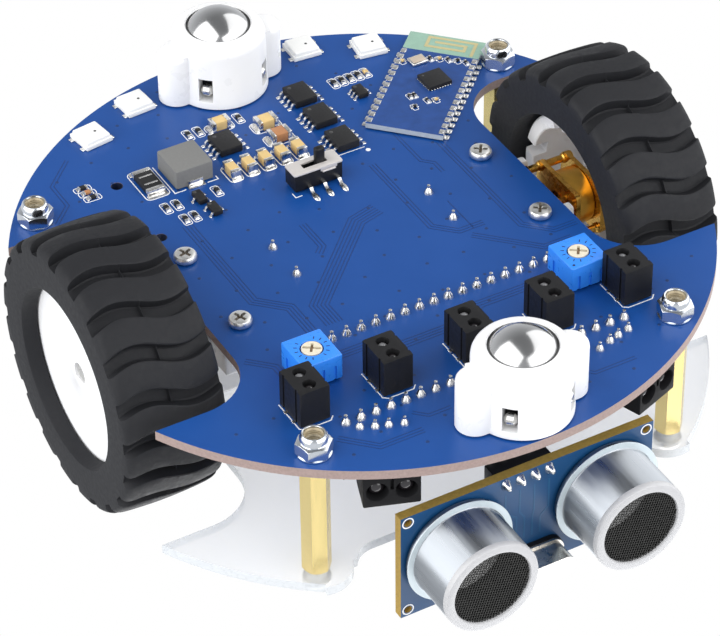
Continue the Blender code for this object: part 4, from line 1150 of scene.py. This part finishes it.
def make_switch():
    """A slide switch: a moulded base, a metal cover with a slot and folds, the knob and three legs."""
    lo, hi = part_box("switch_body")
    x = (board_middle.x - (lo.x + hi.x) / 2) / MM
    y = ((lo.y + hi.y) / 2 - board_middle.y) / MM
    place = UNDER @ shift(x, y)
    base = solid(add_box, (8.5, 3.4, 3.05), (0, 0, 1.88), bevel=0.12)
    cover = solid(add_slab, rounded_rectangle(8.8, 3.5, 0.35), 3.4, 3.7, bevel=0.12, segments=2)
    base, cover = (cut(mesh, add_box, SWITCH_SLOT, (0, 0, SLOT_MIDDLE_Z)) for mesh in (base, cover))
    piece("switch_base", base, BLACK, "chassis", place)
    piece("switch_cover", cover, SWITCH_COVER, "chassis", place, ("switch_body",))
    folds = bmesh.new()
    for end in (1, -1):
        add_box(folds, (3.0, 0.2, 0.6), (end * 1.8, end * -1.67, 3.2), bevel=0.08)
        add_box(folds, (2.4, 0.34, 0.3), (end * 1.8, end * -1.75, 2.8), bevel=0.12, segments=3)
    piece("switch_folds", folds, SWITCH_COVER, "chassis", place)
    knob_lo, knob_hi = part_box("switch_knob")
    knob_x = (board_middle.x - (knob_lo.x + knob_hi.x) / 2) / MM
    knob_top = min((board_lo.z - knob_lo.z) / MM, KNOB_TOP)
    knob = solid(add_box, (1.7, 1.15, knob_top - KNOB_BASE), (0, 0, (knob_top + KNOB_BASE) / 2), bevel=0.38,
                 segments=4)
    piece("slide_knob", knob, BLACK, "knob", UNDER @ shift(knob_x, y), ("switch_knob",))
    for along in (-1.75, 0.75, 3.35):
        add_bent_strip(groups["legs"], SWITCH_LEG, 0.2, 0.55, shift(x + along, y) @ spin(90))
        add_lathe(groups["solder"], SWITCH_FOOT, 20,
                  shift(x + along, y - 3.75, 0.03) @ Matrix.Diagonal((0.52, 1.25, 0.3, 1)))
    line_mark([(x - 4.6, y - 1.2), (x - 4.6, y - 2.4), (x - 3.4, y - 2.4)], 0.16)


# The radio module's own frame has X along it; its antenna end starts at RADIO_SPLIT.
RADIO_LENGTH, RADIO_WIDTH, RADIO_T, RADIO_SPLIT = 27.0, 13.0, 0.9, 8.6
RADIO_X, RADIO_Y, RADIO_TURN = 28.5, 28.8, 44
RADIO_PADS, PAD_START, PAD_PITCH = 13, -12.5, 1.69
MEANDER = [(9.0, -5.1), (12.7, -5.1), (12.7, 2.9), (10.1, 2.9), (10.1, -3.6), (11.5, -3.6), (11.5, 1.7)]
RADIO_CHIP, RADIO_CRYSTAL = (29.8, 28.4), (30.2, 34.6)
RADIO_SMALL = ((32.4, 34.2), (33.6, 33.4), (34.8, 32.4), (35.9, 31.4), (36.9, 30.2), (28.0, 35.9),
               (24.1, 26.7), (23.3, 23.8), (26.0, 24.3), (27.3, 23.7), (24.9, 26.6))


def make_radio():
    """A radio module soldered by its edges: bare laminate with the antenna at one end."""
    place = shift(RADIO_X, RADIO_Y, GAP) @ spin(RADIO_TURN)
    side_y, end_x, thick = RADIO_WIDTH / 2, RADIO_LENGTH / 2, RADIO_T
    for name, x0, x1, look, slot, replaces in (
            ("radio_board", -end_x, RADIO_SPLIT, RADIO_BLUE, "blue_board", ("radio_module",)),
            ("radio_antenna_end", RADIO_SPLIT + 0.02, end_x, RADIO_BARE, None, ())):
        half = filled([[(x0, -side_y), (x1, -side_y), (x1, side_y), (x0, side_y)]], 0, thick)
        piece(name, half, (look, RADIO_EDGE), "chassis", UNDER @ place, replaces, side_finish=True)
    antenna = solid(add_strip, MEANDER, 0.55, thick, thick + 0.04)
    piece("radio_antenna", antenna, ANTENNA, "chassis", UNDER @ place)
    for side in (1, -1):
        for k in range(RADIO_PADS):
            x = PAD_START + PAD_PITCH * k
            add_box(groups["pads"], (1.15, 0.85, 0.12), (x, side * 6.05, thick + 0.03), bevel=0.06, at=place)
            add_box(groups["pads"], (1.0, 0.16, thick), (x, side * 6.52, thick / 2), bevel=0.05, segments=1,
                    at=place)
            add_box(groups["solder"], (1.05, 0.9, 0.34), (x, side * 6.85, 0.17 - GAP), bevel=0.15, at=place)
    # the parts on the module stand square to the car, not to the module
    top = GAP + thick
    chip_x, chip_y = RADIO_CHIP
    add_box(groups["chips"], (4.2, 4.2, 0.75), (chip_x, chip_y, top + 0.42), bevel=0.06)
    for turn in (0, 90, 180, 270):
        for k in range(8):
            add_box(groups["legs"], (0.26, 0.24, 0.2), (2.15, -1.75 + 0.5 * k, top + 0.12),
                    bevel=0.03, segments=1, at=shift(chip_x, chip_y) @ spin(turn))
    dimple = [(0.0, top + 0.79), (0.22, top + 0.79), (0.2, top + 0.805), (0.0, top + 0.807)]
    add_lathe(groups["dimples"], dimple, 16, shift(chip_x - 1.4, chip_y + 1.4))
    add_box(groups["terminals"], (2.9, 2.3, 0.55), (*RADIO_CRYSTAL, top + 0.3), bevel=0.2, segments=3)
    add_box(groups["crystal_tops"], (2.3, 1.7, 0.2), (*RADIO_CRYSTAL, top + 0.55), bevel=0.08)
    for i, (x, y) in enumerate(RADIO_SMALL):
        two_ended("tan_bodies" if i % 4 == 1 else "resistors", x, y, 0.5, 1.05, 0.4, i % 2 == 0,
                  at=shift(0, 0, top), metal=0.26)
        ring_mark(x, y, 0.95, 1.7, 0.1, 0.2, z=top, thick=0.02, inner_radius=0.12, steps=2)


def beside(path, offset):
    """The line at an even distance to one side of a path."""
    points = [Vector(p) for p in path]
    moved = []
    for i, point in enumerate(points):
        after = (points[min(i + 1, len(points) - 1)] - points[min(i, len(points) - 2)]).normalized()
        before = (points[max(i, 1)] - points[max(i - 1, 0)]).normalized()
        across = (before + after).normalized().orthogonal()
        moved.append(point + across * (offset / math.sqrt((1 + before.dot(after)) / 2)))
    return [(p.x, p.y) for p in moved]


# Bundles of traces: the path of the first line, how many lines, and which side the others lie on.
TRACE_WIDTH, TRACE_PITCH = 0.17, 0.56
TRACE_BUNDLES = (
    (((-23.2, 16.0), (-23.2, -6.0), (-19.0, -10.2), (-19.0, -16.5)), 4, 1),
    (((5.0, 6.2), (0.4, 5.0), (-15.6, -11.0), (-15.6, -16.5)), 6, 1),
    (((-6.1, 7.2), (-6.1, 0.6), (-7.6, -0.9)), 3, -1),
    (((9.9, 15.2), (9.9, -3.6), (13.4, -7.1), (18.0, -7.1)), 3, 1),
    (((18.0, 20.6), (18.0, 12.4), (19.6, 10.8), (19.6, 8.0)), 2, -1),
    (((22.3, 15.2), (22.3, -10.2), (26.4, -14.3), (30.6, -14.3)), 3, 1),
    (((16.0, 1.0), (16.0, -7.0)), 1, 1),
    (((14.4, -8.8), (22.8, -17.2), (28.0, -17.2)), 3, 1),
    (((-26.4, -39.4), (-22.0, -43.8), (-15.0, -43.8)), 3, -1),
    (((-14.3, -40.0), (-12.6, -41.7), (-8.9, -41.7)), 2, -1),
    (((-30.6, -18.0), (-27.4, -21.2), (-27.4, -30.0), (-29.8, -32.4), (-29.8, -37.4)), 3, 1),
    (((28.2, -19.6), (28.2, -21.4), (30.6, -23.8), (30.6, -34.0)), 3, 1),
    (((-20.5, -22.6), (-12.0, -22.6), (-9.4, -25.2), (4.0, -25.2), (6.4, -22.8), (16.2, -22.8)), 4, -1),
    (((-39.6, 26.4), (-36.0, 30.0), (-36.0, 35.6), (-31.0, 40.6)), 2, 1),
    (((10.0, -39.4), (10.0, -43.0), (13.4, -46.4), (20.6, -46.4)), 2, 1),
)
VIA_COUNT, VIA_SPREAD, GOLDEN_ANGLE = 190, 52.0, 137.508
SLOT_KEEP_X, SLOT_KEEP_Y = 30.0, 26.5       # no small holes beyond these, where the wheel slots are


def make_traces():
    """Copper under the solder mask: bundles of fine lines with 45 degree bends, and small holes."""
    traces, vias = bmesh.new(), bmesh.new()
    for path, count, toward in TRACE_BUNDLES:
        for k in range(count):
            add_strip(traces, beside(path, toward * k * TRACE_PITCH), TRACE_WIDTH, 0.0, 0.022)
    ring = [(0.0, 0.0), (0.3, 0.0), (0.27, 0.03), (0.0, 0.035)]
    for k in range(VIA_COUNT):
        # points spread evenly over the disc by the golden angle, kept off the slots
        radius, angle = VIA_SPREAD * math.sqrt((k + 0.5) / VIA_COUNT), math.radians(GOLDEN_ANGLE * k)
        x, y = radius * math.cos(angle), radius * math.sin(angle)
        if abs(x) <= SLOT_KEEP_X or abs(y) >= SLOT_KEEP_Y:
            add_lathe(vias, ring, 10, shift(x, y))
    piece("copper_traces", traces, BLUE_TRACE, "chassis", UNDER)
    piece("copper_vias", vias, VIA_DARK, "chassis", UNDER)


GROUP_LOOKS = {
    "marks": (SILK, None), "terminals": (TIN, "steel"), "solder": (TIN, "steel"), "legs": (TIN, "steel"),
    "joints": (TIN, "steel"), "pads": (TIN, "steel"), "chips": (CHIP, "black_plastic"),
    "dimples": (CHIP_MARK, "black_plastic"), "resistors": (CHIP, "black_plastic"), "tan_bodies": (TAN, None),
    "brown_bodies": (BROWN, None), "inductor": (INDUCTOR, None), "led_bodies": (LED_WHITE, "white_plastic"),
    "led_dots": (CHIP_MARK, None), "clear_lenses": (CLEAR_LENS, None), "dark_lenses": (DARK_LENS, None),
    "crystal_tops": (CRYSTAL_TOP, None),
}


def place_groups():
    """The collected small shapes, one piece for each finish."""
    for name, bm in groups.items():
        look, slot = GROUP_LOOKS[name]
        piece(f"small_{name}", bm, look, "chassis", UNDER)


# ---------------------------------------------------------------- parts above the board
EYE_X, EYE_Y, EYE_TURN = 21.9, -46.1, 20
EYE_APART = 2.18       # from the block's middle to each of its two eyes


def make_obstacle_sensors():
    """Two-eyed reflective sensors behind the front rim, turned a little outwards."""
    facing = shift(0, 0, 3.2) @ spin(90, "X")
    mesh = solid(add_slab, rounded_rectangle(8.6, 6.0, 0.2), 0.32, 6.08, bevel=0.2, segments=2)
    for x in (EYE_APART, -EYE_APART):
        bore = [(0.0, 1.4), (1.45, 1.4), (1.6, 2.8), (1.8, 3.2), (0.0, 3.2)]
        mesh = cut(mesh, add_lathe, bore, 32, facing @ shift(x))
    mesh = cut(mesh, add_box, (0.5, 1.0, 4.0), (0, -3.0, 1.0))
    for side, sign in SIDES:
        place = ABOVE @ shift(sign * EYE_X, EYE_Y) @ spin(sign * EYE_TURN)
        piece(f"eye_block_{side}", mesh.copy(), EYE_BLACK, "chassis", place,
              (f"obstacle_sensor_{side}",))
        lenses, legs = bmesh.new(), bmesh.new()
        for x in (EYE_APART, -EYE_APART):
            add_lathe(lenses, dome(1.3, 1.5, 0.9, 1.35), 28, facing @ shift(x))
        piece(f"eye_lenses_{side}", lenses, DARK_LENS, "chassis", place)
        for x in (-3.45, -0.9, 0.9, 3.45):
            add_box(legs, (0.5, 0.5, 0.5), (x, 2.2, 0.1), bevel=0.05)
        piece(f"eye_legs_{side}", legs, TIN, "chassis", place)


# Transducers, as (radius, height) over the sensor board.
CAN_TOP = 10.45
CAN = [(0.0, 0.0), (8.85, 0.0), (8.9, 0.1), (8.9, 0.8), (8.75, 0.95), (8.2, 1.0), (7.98, 1.25),
       (7.98, CAN_TOP - 1.1), (7.8, CAN_TOP - 0.9), (7.2, CAN_TOP - 0.9), (7.2, 1.7), (0.0, 1.7)]
# a black tube over the can's inner wall: painted shade inside the can
CAN_WALL_SHADE = [(6.85, 1.75), (7.15, 1.75), (7.15, 9.4), (6.85, 9.4)]
FLOOR = [(0.0, 1.75), (6.8, 1.75), (6.8, 2.0), (3.0, 2.1), (0.0, 2.3)]
RIM = [(6.5, 9.7), (6.5, 10.2), (6.62, 10.38), (7.6, 10.44), (7.86, 10.3), (8.0, 10.0), (8.0, 9.4),
       (7.7, 9.3), (6.9, 9.4)]
FLANGE = [(8.06, 0.86), (9.1, 0.86), (9.15, 0.92), (9.1, 1.02), (8.06, 1.08)]
# Each part of a can: its name, profile, facets, finish and slot.
CAN_PARTS = (("wall_shade", CAN_WALL_SHADE, 64, BLACK, "black_plastic"), ("floor", FLOOR, 48, CAN_FLOOR, "aluminium"),
             ("rim", RIM, 96, CAN_RIM, "aluminium"), ("flange", FLANGE, 96, CAN_FLANGE, "aluminium"))
GRILLE_R, GRILLE_Z, GRILLE_WIRE, GRILLE_STEP, GRILLE_TURN = 6.75, 9.95, 0.085, 0.46, -18


def grille():
    """A flat mesh of crossed wires behind the can's rim."""
    bm = bmesh.new()
    wide, turned = GRILLE_WIRE, spin(GRILLE_TURN)
    count = int(GRILLE_R / GRILLE_STEP)
    for k in range(-count, count + 1):
        offset = k * GRILLE_STEP
        half = math.sqrt(GRILLE_R ** 2 - offset ** 2)
        add_box(bm, (2 * half, wide, wide), (0, offset, GRILLE_Z), at=turned)
        add_box(bm, (wide, 2 * half, wide), (offset, 0, GRILLE_Z + wide * 0.8), at=turned)
    return bm


# Middle of the sensor board's four joints: aside of the board's middle, and in from its edge.
JOINT_ROW_X, JOINT_ROW_IN = -0.19, 1.3
SENSOR_PINS = 4
SONAR_JOINT = [(0.0, 0.0), (0.85, 0.0), (0.8, 0.15), (0.55, 0.6), (0.4, 1.1), (0.2, 1.35), (0.0, 1.4)]
CORNER_IN = 1.25        # the corner holes' distance from the edges
CRYSTAL_Y = -7.4


def make_sonar():
    """The ultrasonic distance sensor: its frame has X to the car's right, Y down, Z forwards."""
    lo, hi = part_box("distance_sensor_board")
    board_at = under_board("distance_sensor_board")
    cans_at = {side: under_board(f"transducer_{side}") for side, _ in SIDES}
    middle_x = (cans_at["left"].x + cans_at["right"].x) / 2
    front = (lo.y - board_middle.y) / MM
    place = UNDER @ Matrix(((1, 0, 0, middle_x), (0, 0, -1, front), (0, 1, 0, board_at.z), (0, 0, 0, 1)))
    width, height, thick = (hi.x - lo.x) / MM, (hi.z - lo.z) / MM, (hi.y - lo.y) / MM
    aside = board_at.x - middle_x
    hole_x, hole_y = width / 2 - CORNER_IN, height / 2 - CORNER_IN
    corners = [(aside + sx * hole_x, sy * hole_y) for sx in (-1, 1) for sy in (-1, 1)]
    outline = [(aside + sx * width / 2, sy * height / 2) for sx, sy in ((-1, -1), (1, -1), (1, 1), (-1, 1))]
    board = filled([outline, *[circle(c, 0.65, 24) for c in corners]], -thick, 0)
    piece("sonar_board", board, (TEAL, TEAL_EDGE), "chassis", place, ("distance_sensor_board",),
          side_finish=True)
    marks, joints, traces, shell = (bmesh.new() for _ in range(4))
    can = solid(add_lathe, CAN, 96)
    for side, at in cans_at.items():
        here = place @ shift(at.x - middle_x, at.z - board_at.z, GAP)
        piece(f"can_{side}", can.copy(), ALUMINIUM, "chassis", here, (f"transducer_{side}",),
              sharp=50)
        piece(f"can_mesh_{side}", grille(), MESH_BLACK, "chassis", here)
        for part, profile, facets, look, slot in CAN_PARTS:
            piece(f"can_{part}_{side}", solid(add_lathe, profile, facets), look, "chassis", here)
    for c in corners:
        add_ring(marks, circle(c, 1.0, 28), circle(c, 0.8, 28), 0.0, INK_T)
    piece("sonar_marks", marks, SILK, "chassis", place)
    row_x, row_y = aside + JOINT_ROW_X, height / 2 - JOINT_ROW_IN
    for k in range(SENSOR_PINS):
        x = row_x + PIN_PITCH * (k - 1.5)
        add_lathe(joints, SONAR_JOINT, 18, shift(x, row_y) @ Matrix.Diagonal((0.95, 1.25, 1.0, 1.0)))
        path = [(x, 6.6), (x, 2.6 - 0.5 * k), (x * 0.55, 1.2 - 0.5 * k), (x * 0.55, -3.6)]
        add_strip(traces, path, 0.3, 0.0, 0.03)
    piece("sonar_joints", joints, TIN, "chassis", place)
    piece("sonar_traces", traces, TEAL_TRACE, "chassis", place)
    base = solid(add_slab, rounded_rectangle(11.2, 4.7, 2.3, (0, CRYSTAL_Y), 8), 0.02, 0.9, bevel=0.1)
    piece("crystal_base", base, BLACK, "chassis", place)
    add_slab(shell, rounded_rectangle(10.9, 4.5, 2.2, (0, CRYSTAL_Y), 10), 0.9, 1.25)
    add_slab(shell, rounded_rectangle(10.2, 3.8, 1.88, (0, CRYSTAL_Y), 10), 1.25, 5.2, bevel=0.35, segments=4)
    piece("crystal_can", shell, CRYSTAL, "chassis", place)
    make_sonar_back(place @ shift(0, 0, -thick), row_x, row_y)


# Chips on the sensor's back: place, width, length and pins on each side.
BACK_CHIPS = ((-13.5, -1.0, 3.9, 8.6, 7), (0.6, -2.2, 3.9, 8.6, 7), (12.6, 1.6, 3.9, 4.9, 4))
BACK_JOINT = [(0.0, -1.4), (0.25, -1.35), (0.45, -0.8), (0.8, -0.1), (0.8, 0.0), (0.0, 0.0)]
PLUG_Z = -3.75


def make_sonar_back(back, socket_x, socket_y):
    """The far side of the sensor board: its plug in the main board's socket, chips and small parts."""
    plastic, metal, chips = bmesh.new(), bmesh.new(), bmesh.new()
    add_box(plastic, (10.2, 2.5, 2.5), (socket_x, socket_y, -1.3), bevel=0.1)
    path = ((-0.6, socket_y), (-3.4, socket_y), (PLUG_Z, socket_y + 0.3), (PLUG_Z, 12.0))
    for k in range(SENSOR_PINS):
        x = socket_x - 3.81 + PIN_PITCH * k
        upright = Matrix(((0, 1, 0, x), (0, 0, 1, 0), (1, 0, 0, 0), (0, 0, 0, 1)))
        add_bent_strip(metal, path, 0.6, 0.6, upright)
    add_box(plastic, (10.6, 2.6, 8.4), (0, 0, 0), bevel=0.12,
            at=Matrix(((1, 0, 0, socket_x), (0, 0, 1, 16.0), (0, -1, 0, PLUG_Z), (0, 0, 0, 1))))
    for x, y, width, length, pins in BACK_CHIPS:
        add_box(chips, (width, length, 1.35), (x, y, -0.83), bevel=0.14)
        for side in (1, -1):
            for k in range(pins):
                along = (k - (pins - 1) / 2) * 1.27
                add_box(metal, (1.1, 0.42, 0.2), (x + side * (width / 2 + 0.5), y + along, -0.12), bevel=0.05)
    for k in range(10):
        x, y = -18.0 + 4.0 * k, -7.6 + 1.2 * (k % 2)
        add_box(chips, (0.5, 1.0, 0.45), (x, y, -0.25), bevel=0.05)
        for side in (1, -1):
            add_box(metal, (0.82, 0.36, 0.48), (x, y + side * 0.66, -0.25), bevel=0.08)
    for can_x in (-13.0, 13.0):
        for apart in (-2.5, 2.5):
            add_lathe(metal, BACK_JOINT, 16, shift(can_x + apart, 4.6))
    piece("sonar_plug", plastic, BLACK, "chassis", back)
    piece("sonar_back_metal", metal, TIN, "chassis", back)
    piece("sonar_back_chips", chips, CHIP, "chassis", back)


HOLE_DEPTH, HOLE = 2.4, 0.85        # a socket's square holes


def make_sockets():
    """Two open 20-way pin sockets, each hole with its contact."""
    top = GAP + SOCKET_H
    for end, sign in (("front", -1), ("rear", 1)):
        place = ABOVE @ shift(0, HEADER_Y + sign * HEADER_ROW)
        holes, contacts = bmesh.new(), bmesh.new()
        for k in range(HEADER_PINS):
            x = HEADER_START + PIN_PITCH * k
            add_box(holes, (HOLE, HOLE, 2 * HOLE_DEPTH), (x, 0, top))
            add_box(contacts, (0.6, 0.6, 0.9), (x, 0, 0.05), bevel=0.05)
            for side in (1, -1):
                add_box(contacts, (0.5, 0.12, 1.9), (x, side * 0.28, top - 1.5), bevel=0.03, segments=1)
        body = solid(add_box, (50.8, 2.5, SOCKET_H), (0, 0, GAP + SOCKET_H / 2), bevel=0.12)
        body = combined(body, closed_mesh(holes), "DIFFERENCE")
        piece(f"socket_{end}", body, BLACK, "chassis", place, (f"pin_socket_{end}",))
        piece(f"socket_contacts_{end}", contacts, TIN, "chassis", place)


TRAY_WALL = 1.6


def make_battery():
    """A moulded tray with a plate contact at each end, holding one wrapped cell."""
    lo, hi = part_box("battery_holder")
    place = ABOVE @ shift(0, ((lo.y + hi.y) / 2 - board_middle.y) / MM)
    length, width = (hi.x - lo.x) / MM, (hi.y - lo.y) / MM
    low, high = (lo.z - board_hi.z) / MM, (hi.z - board_hi.z) / MM
    tray = solid(add_slab, rounded_rectangle(length, width, 0.8), low, high, bevel=0.35, segments=2)
    # hollow for the cell, finger notch over it, and a hole through the floor
    hollow = (length - 2 * TRAY_WALL, width - 2 * TRAY_WALL, high)
    for size, z in ((hollow, low + TRAY_WALL + high / 2), ((20.0, width + 2, 7.0), high + 0.2),
                    ((5.0, 5.0, 6.0), low)):
        tray = cut(tray, add_box, size, (0, 0, z), bevel=0.3)
    piece("cell_tray", tray, BLACK, "chassis", place, ("battery_holder",))
    cell_lo, cell_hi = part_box("battery_cell")
    radius = (cell_hi.z - cell_lo.z) / 2 / MM
    half = (cell_hi.x - cell_lo.x) / 2 / MM
    axis_z = ((cell_lo.z + cell_hi.z) / 2 - board_hi.z) / MM
    along = place @ shift(0, 0, axis_z) @ spin(90, "Y")
    wrap = [(5.9, half - 1.25), (6.7, half - 1.25), (radius, half - 1.6), (radius, -half + 0.6),
            (6.6, -half + 0.1), (5.9, -half + 0.1)]
    ends = [(0.0, half - 0.02), (2.2, half - 0.02), (2.5, half - 0.2), (2.6, half - 1.1), (5.88, half - 1.35),
            (5.88, -half + 0.2), (4.0, -half + 0.02), (0.0, -half + 0.02)]
    piece("cell_sleeve", solid(add_lathe, wrap, 64), CELL_WRAP, "chassis", along,
          ("battery_cell",))
    piece("cell_ends", solid(add_lathe, ends, 48), STEEL, "chassis", along)
    contacts = bmesh.new()
    contact_x = length / 2 - TRAY_WALL - 0.2
    for side in (1, -1):
        add_box(contacts, (0.3, 8.0, 8.0), (side * contact_x, 0, axis_z), bevel=0.1)
        add_box(contacts, (0.3, 2.4, 2.0), (side * contact_x, 0, high - 0.9), bevel=0.1)
    piece("cell_contacts", contacts, STEEL, "chassis", place)


# ---------------------------------------------------------------- the whole car
aim_camera()
lay_floor()
light_up()
bpy.context.scene.view_settings.view_transform = "Standard"
for make in (make_plates, make_posts, make_drives, make_casters, make_leds, make_power_parts,
             make_solder_joints, make_line_sensors, make_trimmers, make_switch, make_radio, make_traces,
             make_obstacle_sensors, make_sonar, make_sockets, make_battery, place_groups):
    make()

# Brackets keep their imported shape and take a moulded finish.
for bracket_side, _ in SIDES:
    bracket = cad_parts[f"motor_bracket_{bracket_side}"]
    for material_slot in bracket.material_slots:
        material_slot.material = WHITE
